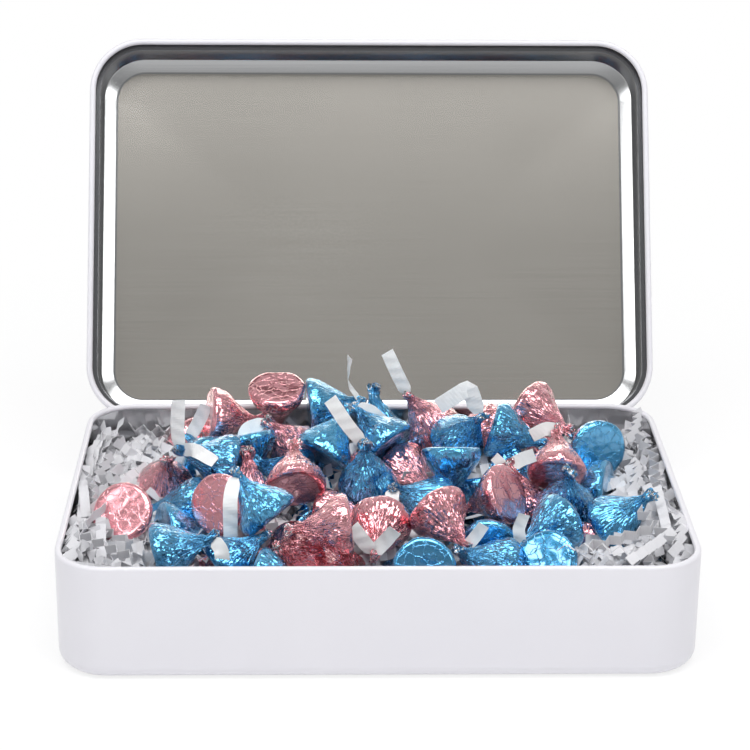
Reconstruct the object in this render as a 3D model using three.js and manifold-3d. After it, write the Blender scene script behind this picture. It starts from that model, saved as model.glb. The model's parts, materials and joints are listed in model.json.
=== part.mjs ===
// Hinged tinplate gift tin, standing open, with a heap of foil-wrapped chocolate drops on crinkled paper.
// Millimetres, +Z up. X runs along the hinge, +Y points to the hinge at the back, and the origin is the
// centre of the tin's flat underside. The lid rests open against its stop and closes about the hinge pins.
import * as THREE from "three";
import { mergeVertices } from "three/addons/utils/BufferGeometryUtils.js";
import Module from "manifold-3d";

// Tin body: a seamless drawn tray with its top edge rolled inwards
const TIN_WIDTH = 225;
const TIN_DEPTH = 152;
const TIN_HEIGHT = 43;
const TIN_CORNER_RADIUS = 18.5;
const TIN_BOTTOM_RADIUS = 5;
const SHEET = 0.4;
const ROLL_DIAMETER = 2.4;
const ROLL_TURN = THREE.MathUtils.degToRad(280);

// Lid: a rolled edge, a short skirt that slips over the body, a ledge that lands on the body's rolled rim,
// an upper skirt, a sloped shoulder and a flat panel. Heights are from the lid's own rim.
const LID_CLEARANCE = 0.8;
const LEDGE_HEIGHT = 4.5;
const LEDGE_RUN = 3.8;
const SKIRT_HEIGHT = 17.9;
const SHOULDER_RUN = 5.3;
const SHOULDER_RISE = 2.1;
const LID_OPEN = THREE.MathUtils.degToRad(118);

// Hinges: two butt hinges of rolled strip on a wire pin, on the outside of the back wall
const HINGE_OFFSET = 60;
const HINGE_WIDTH = 26;
const MIDDLE_KNUCKLE = 12;
const LEAF_THICKNESS = 0.6;
const LEAF_HEIGHT = 9;
const LEAF_CORNER = 2;
const PIN_CLEARANCE = 0.3;
const PIN_HEAD_LENGTH = 0.8;

// Filling: a nest of crinkled paper and the drops, each with a flat base, a round shoulder and a twisted tip
const BED_BELOW_RIM = 5.5;
const BED_SIDE = 12;
const BED_SLOPE = 18;
const NEST_FRONT_BELOW_RIM = 17;
const NEST_BACK_BELOW_RIM = 5;
const NEST_FLOOR = 18;
const NEST_HOLLOW = 9;
const DROP_DIAMETER = 22.6;
const DROP_BASE_FLAT = 18.6;
const DROP_EDGE_HEIGHT = 1.8;
const DROP_BELLY_HEIGHT = 6.8;
const DROP_WAIST_DIAMETER = 9.2;
const DROP_WAIST_HEIGHT = 11.2;
const DROP_NECK_DIAMETER = 4.2;
const DROP_NECK_HEIGHT = 18.6;
const DROP_TIP_DIAMETER = 3.2;
const DROP_LENGTH = 23.5;
const DROP_MIDDLE = 9;

// Crinkle-cut strips banked at both ends, folded flat to a footprint and spread by five steady steps
const STRIP_COUNT = 240;
const STRIP_LENGTH = 28;
const STRIP_FOOTPRINT = 5.4;
const STRIP_WALL_GAP = 2.5;
const STRIP_BANK = 30;
const STRIP_PILE_HEIGHT = 7;
const STRIP_FALL_HEIGHT = 8;
const STRIP_STEEPEST = 0.15;
const STRIP_STEPS = [0.7549, 0.5698, 0.618, 0.4142, 0.3028];

// Clearances between neighbours, and how long the heap is shaken before it rests
const SEAT_GAP = 0.3;
const HEAP_GAP = 0.3;
const HEAP_UNDER_LID = 0.8;
const PULL = 0.04;
const PULL_ROUNDS = 60;
const PUSH_ROUNDS = 400;

// Facets
const CORNER_STEPS = 5;
const BEND_STEPS = 4;
const EDGE_ROLL_STEPS = 8;
const KNUCKLE_STEPS = 10;
const DROP_SIDES = 10;
const BELLY_STEPS = 4;
const BED_CELL = 4.6;
const SAMPLE_SPACING = 2.4;
const SETTLE_TOLERANCE = 0.03;
const WELD_TOLERANCE = 0.0001;

// Heights and faces that several pieces share
const QUARTER_TURN = Math.PI / 2;
const HALF_TURN = Math.PI;
const FULL_TURN = 2 * Math.PI;
const rollRadius = ROLL_DIAMETER / 2;
const lidGrowth = LID_CLEARANCE + ROLL_DIAMETER;
const lidRimHeight = TIN_HEIGHT + SEAT_GAP - LEDGE_HEIGHT;
const bodyBack = TIN_DEPTH / 2;
const lidBack = bodyBack + lidGrowth;
const leafInner = bodyBack + SEAT_GAP;
const strapOuter = lidBack + SEAT_GAP + LEAF_THICKNESS;
const knuckleRadius = (strapOuter - leafInner) / 2;
const boreRadius = knuckleRadius - LEAF_THICKNESS;
const pinRadius = boreRadius - PIN_CLEARANCE;
const pivotY = leafInner + knuckleRadius;
const pivotZ = lidRimHeight - SEAT_GAP - knuckleRadius;
const floorTop = SHEET + SEAT_GAP;
const heapTop = lidRimHeight + SKIRT_HEIGHT + SHOULDER_RISE - HEAP_UNDER_LID;

const bodyPlan = { width: TIN_WIDTH, depth: TIN_DEPTH, radius: TIN_CORNER_RADIUS };
const lidPlan = {
  width: TIN_WIDTH + 2 * lidGrowth,
  depth: TIN_DEPTH + 2 * lidGrowth,
  radius: TIN_CORNER_RADIUS + lidGrowth,
};

// Finishes
const whiteLacquer = { color: 0xe4e4ea, roughness: 0.35, metalness: 0 };
const brightSteel = { color: 0xb9bcc2, roughness: 0.3, metalness: 1 };
const whitePaper = { color: 0xe6e6ea, roughness: 0.9, metalness: 0 };
const blueFoil = { color: 0x2f86c0, roughness: 0.3, metalness: 0.9 };
const roseFoil = { color: 0xc98a92, roughness: 0.3, metalness: 0.9 };

const wasm = await Module();
wasm.setup();

// A three.js geometry as a solid that can be joined and cut.
function solidFrom(geometry) {
  const bare = geometry.clone();
  bare.deleteAttribute("normal");
  bare.deleteAttribute("uv");
  const merged = mergeVertices(bare, WELD_TOLERANCE);
  const vertProperties = new Float32Array(merged.getAttribute("position").array);
  const triVerts = new Uint32Array(merged.index.array);
  return new wasm.Manifold(new wasm.Mesh({ numProp: 3, vertProperties, triVerts }));
}

// The same solid back as a three.js geometry.
function geometryFrom(solid) {
  const { vertProperties, triVerts } = solid.getMesh();
  const geometry = new THREE.BufferGeometry();
  geometry.setAttribute("position", new THREE.BufferAttribute(vertProperties, 3));
  geometry.setIndex(new THREE.BufferAttribute(triVerts, 1));
  geometry.computeVertexNormals();
  return geometry;
}

// An indexed geometry from corner points and triangles.
function geometryOf(points, triangles) {
  const geometry = new THREE.BufferGeometry();
  geometry.setAttribute("position", new THREE.Float32BufferAttribute(points.flat(), 3));
  geometry.setIndex(triangles.flat());
  geometry.computeVertexNormals();
  return geometry;
}

function pieceOf(name, geometry, finish) {
  const mesh = new THREE.Mesh(geometry, new THREE.MeshStandardMaterial(finish));
  mesh.name = name;
  return mesh;
}

// A rectangle with round corners, drawn in from its outer edge by an inset, anticlockwise from above.
function roundedOutline(plan, inset) {
  const halfWidth = plan.width / 2 - inset;
  const halfDepth = plan.depth / 2 - inset;
  const radius = Math.max(plan.radius - inset, SHEET);
  const corners = [[1, 1], [-1, 1], [-1, -1], [1, -1]];
  return corners.flatMap(([signX, signY], corner) =>
    Array.from({ length: CORNER_STEPS + 1 }, (_, step) => {
      const angle = (corner + step / CORNER_STEPS) * QUARTER_TURN;
      const x = signX * (halfWidth - radius) + radius * Math.cos(angle);
      const y = signY * (halfDepth - radius) + radius * Math.sin(angle);
      return new THREE.Vector2(x, y);
    }),
  );
}

// A closed sheet: the outline carried along a section of insets and heights, capped flat at both ends.
function sheetAlong(plan, section) {
  const rings = section.map(([inset, height]) =>
    roundedOutline(plan, inset).map((point) => [point.x, point.y, height]),
  );
  const count = rings[0].length;
  const triangles = [];
  for (let ring = 0; ring + 1 < rings.length; ring++) {
    for (let i = 0; i < count; i++) {
      const next = (i + 1) % count;
      const low = ring * count;
      const high = low + count;
      triangles.push([low + i, low + next, high + next], [low + i, high + next, high + i]);
    }
  }
  const capOf = (inset) => THREE.ShapeUtils.triangulateShape(roundedOutline(plan, inset), []);
  const lastRing = (rings.length - 1) * count;
  capOf(section[0][0]).forEach(([a, b, c]) => triangles.push([a, c, b]));
  capOf(section.at(-1)[0]).forEach(([a, b, c]) => triangles.push([lastRing + a, lastRing + b, lastRing + c]));
  return geometryOf(rings.flat(), triangles);
}

// Points of a circular bend in a section, from one angle to another.
function bend(centreInset, centreHeight, radius, from, to, steps) {
  return Array.from({ length: steps + 1 }, (_, step) => {
    const angle = from + ((to - from) * step) / steps;
    return [centreInset - radius * Math.cos(angle), centreHeight + radius * Math.sin(angle)];
  });
}

function makeTinBody() {
  const rollHeight = TIN_HEIGHT - rollRadius;
  const innerBend = TIN_BOTTOM_RADIUS - SHEET;
  const section = [
    ...bend(TIN_BOTTOM_RADIUS, TIN_BOTTOM_RADIUS, TIN_BOTTOM_RADIUS, -QUARTER_TURN, 0, BEND_STEPS),
    ...bend(rollRadius, rollHeight, rollRadius, 0, ROLL_TURN, EDGE_ROLL_STEPS),
    ...bend(rollRadius, rollHeight, rollRadius - SHEET, ROLL_TURN, 0, EDGE_ROLL_STEPS),
    ...bend(TIN_BOTTOM_RADIUS, TIN_BOTTOM_RADIUS, innerBend, 0, -QUARTER_TURN, BEND_STEPS),
  ];
  return pieceOf("tin_body", sheetAlong(bodyPlan, section), whiteLacquer);
}

// The lid in its own frame: rim at height 0, panel above.
function makeLid() {
  const innerWall = LEDGE_RUN + SHEET;
  const panelInset = innerWall + SHOULDER_RUN;
  const panelHeight = SKIRT_HEIGHT + SHOULDER_RISE;
  const section = [
    [panelInset, panelHeight],
    [innerWall, SKIRT_HEIGHT],
    [innerWall, LEDGE_HEIGHT],
    [SHEET, LEDGE_HEIGHT],
    ...bend(rollRadius, rollRadius, rollRadius - SHEET, 0, -ROLL_TURN, EDGE_ROLL_STEPS),
    ...bend(rollRadius, rollRadius, rollRadius, -ROLL_TURN, 0, EDGE_ROLL_STEPS),
    [0, LEDGE_HEIGHT + SHEET],
    [LEDGE_RUN, LEDGE_HEIGHT + SHEET],
    [LEDGE_RUN, SKIRT_HEIGHT],
    [panelInset, panelHeight + SHEET],
  ];
  const lid = pieceOf("lid", sheetAlong(lidPlan, section), whiteLacquer);
  lid.position.set(0, -pivotY, lidRimHeight - pivotZ);
  return lid;
}

// A hinge strip across the hinge, with its eyes rolled round the pin, seen along the pin.
// side is -1 for the leaf that hangs down the body's wall and +1 for the strap on the lid's skirt.
function makeHingeStrip(side, plateLength, spans) {
  const plateStart = knuckleRadius + SEAT_GAP;
  const plate = new THREE.Shape();
  plate.moveTo(-HINGE_WIDTH / 2, plateStart);
  plate.lineTo(HINGE_WIDTH / 2, plateStart);
  plate.lineTo(HINGE_WIDTH / 2, plateStart + plateLength - LEAF_CORNER);
  plate.lineTo(HINGE_WIDTH / 2 - LEAF_CORNER, plateStart + plateLength);
  plate.lineTo(-HINGE_WIDTH / 2 + LEAF_CORNER, plateStart + plateLength);
  plate.lineTo(-HINGE_WIDTH / 2, plateStart + plateLength - LEAF_CORNER);
  const sheet = new THREE.ExtrudeGeometry(plate, { depth: LEAF_THICKNESS, bevelEnabled: false });
  sheet.rotateX(QUARTER_TURN);
  sheet.translate(0, knuckleRadius, 0);
  let strip = solidFrom(sheet);
  for (const [from, to] of spans) {
    const eye = new THREE.Shape();
    eye.absarc(0, 0, knuckleRadius, 0, -HALF_TURN - QUARTER_TURN, true);
    eye.lineTo(boreRadius, knuckleRadius);
    eye.lineTo(boreRadius, plateStart + LEAF_CORNER);
    eye.lineTo(knuckleRadius, plateStart + LEAF_CORNER);
    eye.closePath();
    const bore = new THREE.Path();
    bore.absarc(0, 0, boreRadius, 0, FULL_TURN, false);
    eye.holes.push(bore);
    const roll = new THREE.ExtrudeGeometry(eye, {
      depth: to - from,
      bevelEnabled: false,
      curveSegments: KNUCKLE_STEPS,
    });
    roll.rotateY(QUARTER_TURN);
    roll.rotateX(QUARTER_TURN);
    roll.translate(from, 0, 0);
    strip = strip.add(solidFrom(roll));
  }
  const geometry = geometryFrom(strip);
  if (side < 0) geometry.rotateX(HALF_TURN);
  return geometry;
}

function makePin() {
  const halfLength = HINGE_WIDTH / 2 + SEAT_GAP;
  const half = [
    new THREE.Vector2(pinRadius, halfLength),
    new THREE.Vector2(boreRadius + PIN_CLEARANCE, halfLength),
    new THREE.Vector2(pinRadius, halfLength + PIN_HEAD_LENGTH),
    new THREE.Vector2(0, halfLength + PIN_HEAD_LENGTH),
  ];
  const mirrored = half.map((point) => new THREE.Vector2(point.x, -point.y)).reverse();
  const pin = new THREE.LatheGeometry([...mirrored, ...half], KNUCKLE_STEPS);
  return pin.rotateZ(QUARTER_TURN);
}

// Outline of a drop from the middle of its base to its tip: radius and height along the axis.
function dropSection() {
  const bellyRadius = DROP_DIAMETER / 2;
  const neckRadius = DROP_NECK_DIAMETER / 2;
  const section = [
    new THREE.Vector2(0, 0),
    new THREE.Vector2(DROP_BASE_FLAT / 2, 0),
    new THREE.Vector2(bellyRadius, DROP_EDGE_HEIGHT),
  ];
  const side = new THREE.CubicBezierCurve(
    new THREE.Vector2(bellyRadius, DROP_EDGE_HEIGHT),
    new THREE.Vector2(bellyRadius, DROP_BELLY_HEIGHT),
    new THREE.Vector2(DROP_WAIST_DIAMETER / 2, DROP_WAIST_HEIGHT),
    new THREE.Vector2(neckRadius, DROP_NECK_HEIGHT),
  );
  section.push(...side.getPoints(BELLY_STEPS).slice(1));
  section.push(new THREE.Vector2(DROP_TIP_DIAMETER / 2, DROP_LENGTH), new THREE.Vector2(0, DROP_LENGTH));
  return section;
}

const section = dropSection();

// Where a point at a radius and height on a drop's axis lies from the drop's skin: its distance, negative
// inside, and the way out in the plane of the section.
function fromSkin(radius, height) {
  let nearest = Infinity;
  let inside = false;
  let outX = 0;
  let outY = 0;
  for (let i = 0; i + 1 < section.length; i++) {
    const a = section[i];
    const b = section[i + 1];
    const alongX = b.x - a.x;
    const alongY = b.y - a.y;
    const share = ((radius - a.x) * alongX + (height - a.y) * alongY) / (alongX * alongX + alongY * alongY);
    const t = Math.min(Math.max(share, 0), 1);
    const offX = radius - a.x - t * alongX;
    const offY = height - a.y - t * alongY;
    const distance = Math.hypot(offX, offY);
    if (distance < nearest) {
      nearest = distance;
      outX = offX;
      outY = offY;
    }
    const crosses = a.y > height !== b.y > height;
    if (crosses && radius < a.x + ((height - a.y) * alongX) / alongY) inside = true;
  }
  const sign = inside ? -1 : 1;
  return { distance: sign * nearest, outX: (sign * outX) / nearest, outY: (sign * outY) / nearest };
}

// Points spread over a drop's skin in its own frame, with the drop's middle as the origin.
function skinPoints() {
  const points = [];
  for (let i = 0; i + 1 < section.length; i++) {
    const span = section[i].distanceTo(section[i + 1]);
    const steps = Math.max(1, Math.ceil(span / SAMPLE_SPACING));
    for (let step = 0; step < steps; step++) {
      const spot = section[i].clone().lerp(section[i + 1], step / steps);
      const around = Math.max(1, Math.ceil((FULL_TURN * spot.x) / SAMPLE_SPACING));
      for (let turn = 0; turn < around; turn++) {
        const angle = (turn * FULL_TURN) / around;
        const height = spot.y - DROP_MIDDLE;
        points.push(new THREE.Vector3(spot.x * Math.cos(angle), spot.x * Math.sin(angle), height));
      }
    }
  }
  points.push(new THREE.Vector3(0, 0, DROP_LENGTH - DROP_MIDDLE));
  return points;
}

const skin = skinPoints();
const reach = Math.max(...skin.map((point) => point.length()));

// The heap as it was tipped in, lowest drops first: colour, place of the drop's middle from the tin's centre
// and its height above the rim, all in drop diameters, then the lean of its tip away from upright and the
// plan direction of the tip, anticlockwise from +X, in degrees. The drops then push each other apart and
// sink until they rest.
const heap = [
  ["blue", -3.5, -0.04, -0.66, 90, 180],
  ["blue", 1.86, -1.9, -0.66, 60, 200],
  ["blue", 1.73, -1.15, -0.66, 90, 90],
  ["blue", -3.01, -0.4, -0.58, 100, 20],
  ["blue", -2.26, -1.77, -0.58, 60, 20],
  ["blue", -1.33, -2.21, -0.66, 100, 345],
  ["blue", 0.71, -2.21, -0.58, 115, 90],
  ["blue", 2.7, -2.04, -0.58, 120, 60],
  ["rose", -0.35, -0.18, -0.53, 80, 340],
  ["rose", -1.68, -2.12, -0.49, 60, 250],
  ["rose", -2.12, 0.71, -0.4, 15, 90],
  ["rose", 0.58, 1.24, -0.4, 90, 300],
  ["blue", 3.45, 0.62, -0.4, 95, 160],
  ["rose", -3.98, -0.88, -0.31, 130, 70],
  ["blue", -3.01, -2.12, -0.31, 75, 5],
  ["rose", 0.04, -1.5, -0.31, 100, 260],
  ["blue", 2.57, -1.5, -0.31, 100, 215],
  ["rose", -3.36, 0.4, -0.22, 35, 275],
  ["blue", -2.92, 2.08, -0.35, 80, 120],
  ["blue", -1.46, 1.06, -0.22, 80, 160],
  ["rose", -2.39, -0.53, -0.22, 110, 60],
  ["blue", 0.71, -0.35, -0.22, 60, 200],
  ["rose", 1.19, -1.46, -0.22, 115, 305],
  ["rose", 2.43, -0.04, -0.22, 15, 180],
  ["rose", -0.88, -1.86, -0.35, 95, 185],
  ["rose", -1.46, 1.95, -0.13, 40, 200],
  ["blue", 3.05, -0.58, -0.13, 25, 270],
  ["blue", 3.98, -1.15, -0.13, 45, 340],
  ["rose", -2.3, 2.65, 0.22, 100, 10],
  ["rose", -1.73, 2.83, 0.18, 165, 90],
  ["blue", 1.28, 0.35, -0.04, 155, 270],
  ["blue", 3.72, 1.42, -0.04, 100, 110],
  ["blue", -2.74, 0.71, 0.04, 70, 185],
  ["rose", -1.28, 0.13, 0.04, 60, 95],
  ["blue", -1.81, -1.37, 0.04, 45, 155],
  ["blue", 0.22, 2.83, 0, 15, 120],
  ["rose", 1.66, 2.74, -0.08, 88, 195],
  ["rose", 1.86, -0.53, 0.04, 120, 150],
  ["blue", -0.35, 0.13, 0.13, 15, 250],
  ["blue", -0.8, 1.33, 0.13, 45, 45],
  ["blue", 0.13, 1.46, 0.13, 55, 140],
  ["blue", 1.55, 1.73, 0.13, 40, 310],
  ["rose", 3.14, 0.53, 0.13, 55, 85],
  ["blue", 2.39, 1.64, 0.22, 105, 350],
  ["rose", 3.01, 2.48, 0.22, 105, 320],
  ["blue", -0.8, 2.79, 0.22, 85, 5],
  ["rose", 0.88, 2.48, 0.35, 35, 200],
];

// A drop laid at its first place with its axis along its lean and heading, turned to rest on an edge of its facets.
function layDrop([colour, x, y, rise, lean, heading]) {
  const tilt = THREE.MathUtils.degToRad(lean);
  const turn = THREE.MathUtils.degToRad(heading);
  const axis = new THREE.Vector3(
    Math.sin(tilt) * Math.cos(turn),
    Math.sin(tilt) * Math.sin(turn),
    Math.cos(tilt),
  );
  const edge = new THREE.Vector3(0, 0, -1).projectOnPlane(axis).normalize();
  const basis = new THREE.Matrix4().makeBasis(edge.clone().cross(axis), edge, axis);
  const orientation = new THREE.Quaternion().setFromRotationMatrix(basis);
  const points = skin.map((point) => point.clone().applyQuaternion(orientation));
  const box = new THREE.Box3().setFromPoints(points);
  const home = new THREE.Vector3(x, y, rise).multiplyScalar(DROP_DIAMETER);
  home.z += TIN_HEIGHT;
  return { colour, axis, orientation, points, box, home, middle: home.clone() };
}

// The nearest approach of one drop's skin points to the other drop's body, and the way out of that body.
function approach(from, body) {
  const shift = from.middle.clone().sub(body.middle);
  const offset = new THREE.Vector3();
  const least = { distance: Infinity, out: new THREE.Vector3() };
  for (const point of from.points) {
    offset.copy(point).add(shift);
    const along = offset.dot(body.axis);
    const radius = Math.sqrt(Math.max(offset.lengthSq() - along * along, 0));
    const near = fromSkin(radius, along + DROP_MIDDLE);
    if (near.distance >= least.distance) continue;
    least.distance = near.distance;
    const outward = near.outX / Math.max(radius, SETTLE_TOLERANCE);
    least.out.copy(offset).addScaledVector(body.axis, -along).multiplyScalar(outward);
    least.out.addScaledVector(body.axis, near.outY);
  }
  return least;
}

// The gap between two drops and the direction that moves the first one out of the second.
function gapBetween(first, second) {
  const one = approach(first, second);
  const other = approach(second, first);
  if (one.distance < other.distance) return one;
  return { distance: other.distance, out: other.out.negate() };
}

// Height of the loose paper: banked up at both ends of the tin, and a nest between that rises to the back.
function paperHeight(x, y) {
  const backShare = (y + TIN_DEPTH / 2) / TIN_DEPTH;
  const nestBelowRim = THREE.MathUtils.lerp(NEST_FRONT_BELOW_RIM, NEST_BACK_BELOW_RIM, backShare);
  const fromBank = TIN_WIDTH / 2 - BED_SIDE - Math.abs(x);
  const nestShare = THREE.MathUtils.smoothstep(fromBank, 0, BED_SLOPE);
  return TIN_HEIGHT - THREE.MathUtils.lerp(BED_BELOW_RIM, nestBelowRim, nestShare);
}

// Keeps a drop inside the rolled rim, above the nest's floor and under the closed lid.
function keepInside({ middle, box }) {
  const insideX = TIN_WIDTH / 2 - ROLL_DIAMETER - HEAP_GAP;
  const insideY = TIN_DEPTH / 2 - ROLL_DIAMETER - HEAP_GAP;
  middle.x = Math.min(Math.max(middle.x, -insideX - box.min.x), insideX - box.max.x);
  middle.y = Math.min(Math.max(middle.y, -insideY - box.min.y), insideY - box.max.y);
  middle.z = Math.max(Math.min(middle.z, heapTop - box.max.z), NEST_FLOOR - box.min.z);
}

// One round of pushing apart. Returns the least gap that it found.
function pushApart(drops, pull) {
  let tightest = Infinity;
  drops.forEach((drop, i) => {
    for (const other of drops.slice(i + 1)) {
      if (drop.middle.distanceTo(other.middle) > 2 * reach) continue;
      const { distance, out } = gapBetween(drop, other);
      tightest = Math.min(tightest, distance);
      if (distance > HEAP_GAP) continue;
      const push = (HEAP_GAP + SETTLE_TOLERANCE - distance) / 2;
      drop.middle.addScaledVector(out, push);
      other.middle.addScaledVector(out, -push);
    }
  });
  for (const drop of drops) {
    drop.middle.lerp(drop.home, pull);
    keepInside(drop);
  }
  return tightest;
}

// Lowers a drop straight down, each time by the room left, until it rests on the paper or a neighbour.
function sink(drop, drops) {
  const { x, y } = drop.middle;
  const near = drops.filter(
    (other) => other !== drop && Math.hypot(other.middle.x - x, other.middle.y - y) < 2 * reach,
  );
  for (;;) {
    let room = drop.middle.z + drop.box.min.z - paperHeight(x, y);
    for (const other of near) {
      if (drop.middle.distanceTo(other.middle) - 2 * reach > room) continue;
      room = Math.min(room, gapBetween(drop, other).distance - HEAP_GAP);
    }
    if (room < SETTLE_TOLERANCE) return;
    drop.middle.z -= room;
  }
}

function settleHeap() {
  const drops = heap.map(layDrop);
  for (let round = 0; round < PULL_ROUNDS; round++) pushApart(drops, PULL);
  for (let round = 0; round < PUSH_ROUNDS; round++) {
    if (pushApart(drops, 0) > HEAP_GAP - SETTLE_TOLERANCE) break;
  }
  const upwards = [...drops].sort((a, b) => a.middle.z - b.middle.z);
  for (const drop of upwards) sink(drop, drops);
  return drops;
}

// Half the depth of a round-cornered plan at a distance from its middle along X.
function halfDepthAt(plan, inset, x) {
  const radius = Math.max(plan.radius - inset, SHEET);
  const past = Math.max(Math.abs(x) - (plan.width / 2 - inset - radius), 0);
  return plan.depth / 2 - inset - radius + Math.sqrt(Math.max(radius * radius - past * past, 0));
}

// The strips of both banks. Each step, taken over and over and kept below one, spreads one property evenly:
// distance from the end wall, place along the wall, heading, layer and slope. Their ends stay off the walls.
function layStrips() {
  return Array.from({ length: STRIP_COUNT }, (_, i) => {
    const [inward, back, turn, layer, slope] = STRIP_STEPS.map((step) => (i * step) % 1);
    const wayX = Math.cos(turn * HALF_TURN);
    const wayY = Math.sin(turn * HALF_TURN);
    const roomX = TIN_WIDTH / 2 - STRIP_WALL_GAP - (Math.abs(wayX) * STRIP_LENGTH) / 2;
    const roomY = TIN_DEPTH / 2 - STRIP_WALL_GAP - (wayY * STRIP_LENGTH) / 2;
    const x = (roomX - inward * STRIP_BANK) * (i % 2 ? 1 : -1);
    const y = roomY * (2 * back - 1);
    const height = paperHeight(x, y) - layer * STRIP_PILE_HEIGHT - (STRIP_FALL_HEIGHT * y) / TIN_DEPTH;
    return { x, y, height, wayX, wayY, slope: STRIP_STEEPEST * (2 * slope - 1) };
  });
}

// The height of a strip over a plan position, or minus infinity beside it.
function stripHeight(strip, x, y) {
  const along = (x - strip.x) * strip.wayX + (y - strip.y) * strip.wayY;
  const across = (y - strip.y) * strip.wayX - (x - strip.x) * strip.wayY;
  const beside = Math.abs(along) > STRIP_LENGTH / 2 || Math.abs(across) > STRIP_FOOTPRINT / 2;
  return beside ? -Infinity : strip.height + along * strip.slope;
}

// The crinkled paper as one soft solid: a grid over the tray with the banked strips as its relief, hollows
// between the drops, and its top pressed down under every drop.
function makeBed(drops) {
  const wallInset = SHEET + SEAT_GAP;
  const floorInset = TIN_BOTTOM_RADIUS;
  const columns = Math.round(TIN_WIDTH / BED_CELL);
  const rows = Math.round(TIN_DEPTH / BED_CELL);
  const press = BED_CELL * Math.SQRT2;
  const touching = drops.flatMap((drop) => drop.points.map((point) => point.clone().add(drop.middle)));
  const strips = layStrips();
  const heightAt = (x, y) => {
    let height = paperHeight(x, y) - NEST_HOLLOW;
    for (const strip of strips) height = Math.max(height, stripHeight(strip, x, y));
    let ceiling = Infinity;
    for (const point of touching) {
      const apart = Math.hypot(point.x - x, point.y - y);
      if (apart < press / 2) height = Math.max(height, paperHeight(x, y));
      if (apart < press) ceiling = Math.min(ceiling, point.z - HEAP_GAP);
    }
    return Math.min(height, ceiling);
  };
  const spot = (column, row, inset) => {
    const x = (TIN_WIDTH / 2 - inset) * ((2 * column) / columns - 1);
    return [x, halfDepthAt(bodyPlan, inset, x) * ((2 * row) / rows - 1)];
  };
  const points = [];
  const triangles = [];
  const at = (column, row) => column * (rows + 1) + row;
  for (let column = 0; column <= columns; column++) {
    for (let row = 0; row <= rows; row++) {
      const [x, y] = spot(column, row, wallInset);
      points.push([x, y, heightAt(x, y)]);
      if (column === columns || row === rows) continue;
      const corner = [at(column, row), at(column + 1, row), at(column + 1, row + 1), at(column, row + 1)];
      triangles.push([corner[0], corner[1], corner[2]], [corner[0], corner[2], corner[3]]);
    }
  }
  const border = [];
  for (let column = 0; column < columns; column++) border.push([column, 0]);
  for (let row = 0; row < rows; row++) border.push([columns, row]);
  for (let column = columns; column > 0; column--) border.push([column, rows]);
  for (let row = rows; row > 0; row--) border.push([0, row]);
  const sideStart = points.length;
  border.forEach(([column, row]) => points.push([...spot(column, row, wallInset), TIN_BOTTOM_RADIUS]));
  const floorStart = points.length;
  border.forEach(([column, row]) => points.push([...spot(column, row, floorInset), floorTop]));
  border.forEach(([column, row], i) => {
    const next = (i + 1) % border.length;
    const top = at(column, row);
    const topNext = at(...border[next]);
    triangles.push([top, sideStart + i, sideStart + next], [top, sideStart + next, topNext]);
    triangles.push([sideStart + i, floorStart + i, floorStart + next]);
    triangles.push([sideStart + i, floorStart + next, sideStart + next]);
  });
  const floorOutline = border.map(([column, row]) => new THREE.Vector2(...spot(column, row, floorInset)));
  THREE.ShapeUtils.triangulateShape(floorOutline, []).forEach(([a, b, c]) =>
    triangles.push([floorStart + a, floorStart + c, floorStart + b]),
  );
  return pieceOf("crinkle_paper_bed", geometryOf(points, triangles), whitePaper);
}

function makeDrop(drop, name) {
  const geometry = new THREE.LatheGeometry(section, DROP_SIDES);
  geometry.rotateX(QUARTER_TURN);
  geometry.translate(0, 0, -DROP_MIDDLE);
  const mesh = pieceOf(name, geometry, drop.colour === "blue" ? blueFoil : roseFoil);
  mesh.quaternion.copy(drop.orientation);
  mesh.position.copy(drop.middle);
  return mesh;
}

const tin = new THREE.Group();
tin.add(makeTinBody());

const lidGroup = new THREE.Group();
lidGroup.position.set(0, pivotY, pivotZ);
lidGroup.rotation.x = -LID_OPEN;
lidGroup.add(makeLid());
tin.add(lidGroup);

const middleSpan = [[-MIDDLE_KNUCKLE / 2, MIDDLE_KNUCKLE / 2]];
const outerSpans = [
  [-HINGE_WIDTH / 2, -MIDDLE_KNUCKLE / 2 - SEAT_GAP],
  [MIDDLE_KNUCKLE / 2 + SEAT_GAP, HINGE_WIDTH / 2],
];
for (const [side, x] of [["left", -HINGE_OFFSET], ["right", HINGE_OFFSET]]) {
  const leaf = pieceOf(`hinge_leaf_${side}`, makeHingeStrip(-1, LEAF_HEIGHT, middleSpan), brightSteel);
  const strap = pieceOf(`hinge_strap_${side}`, makeHingeStrip(1, LEDGE_HEIGHT, outerSpans), brightSteel);
  const pin = pieceOf(`hinge_pin_${side}`, makePin(), brightSteel);
  leaf.position.set(x, pivotY, pivotZ);
  pin.position.set(x, pivotY, pivotZ);
  strap.position.set(x, 0, 0);
  tin.add(leaf, pin);
  lidGroup.add(strap);
}

const drops = settleHeap();
const counts = { blue: 0, rose: 0 };
for (const drop of drops) {
  counts[drop.colour] += 1;
  const number = String(counts[drop.colour]).padStart(2, "0");
  tin.add(makeDrop(drop, `${drop.colour}_drop_${number}`));
}
tin.add(makeBed(drops));

export default tin;
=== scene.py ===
"""Looks of a hinged tinplate gift tin that stands open, heaped with foil-wrapped drops on crinkled paper.

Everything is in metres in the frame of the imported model: +X along the hinge, +Y towards the hinge, +Z up, and the
origin at the centre of the tin's flat underside. The classes hold their sizes in millimetres.
"""
import json
import logging
import math
from dataclasses import dataclass, field
from enum import Enum

import bmesh
import bpy
import numpy as np
from mathutils import Matrix, Vector


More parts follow.
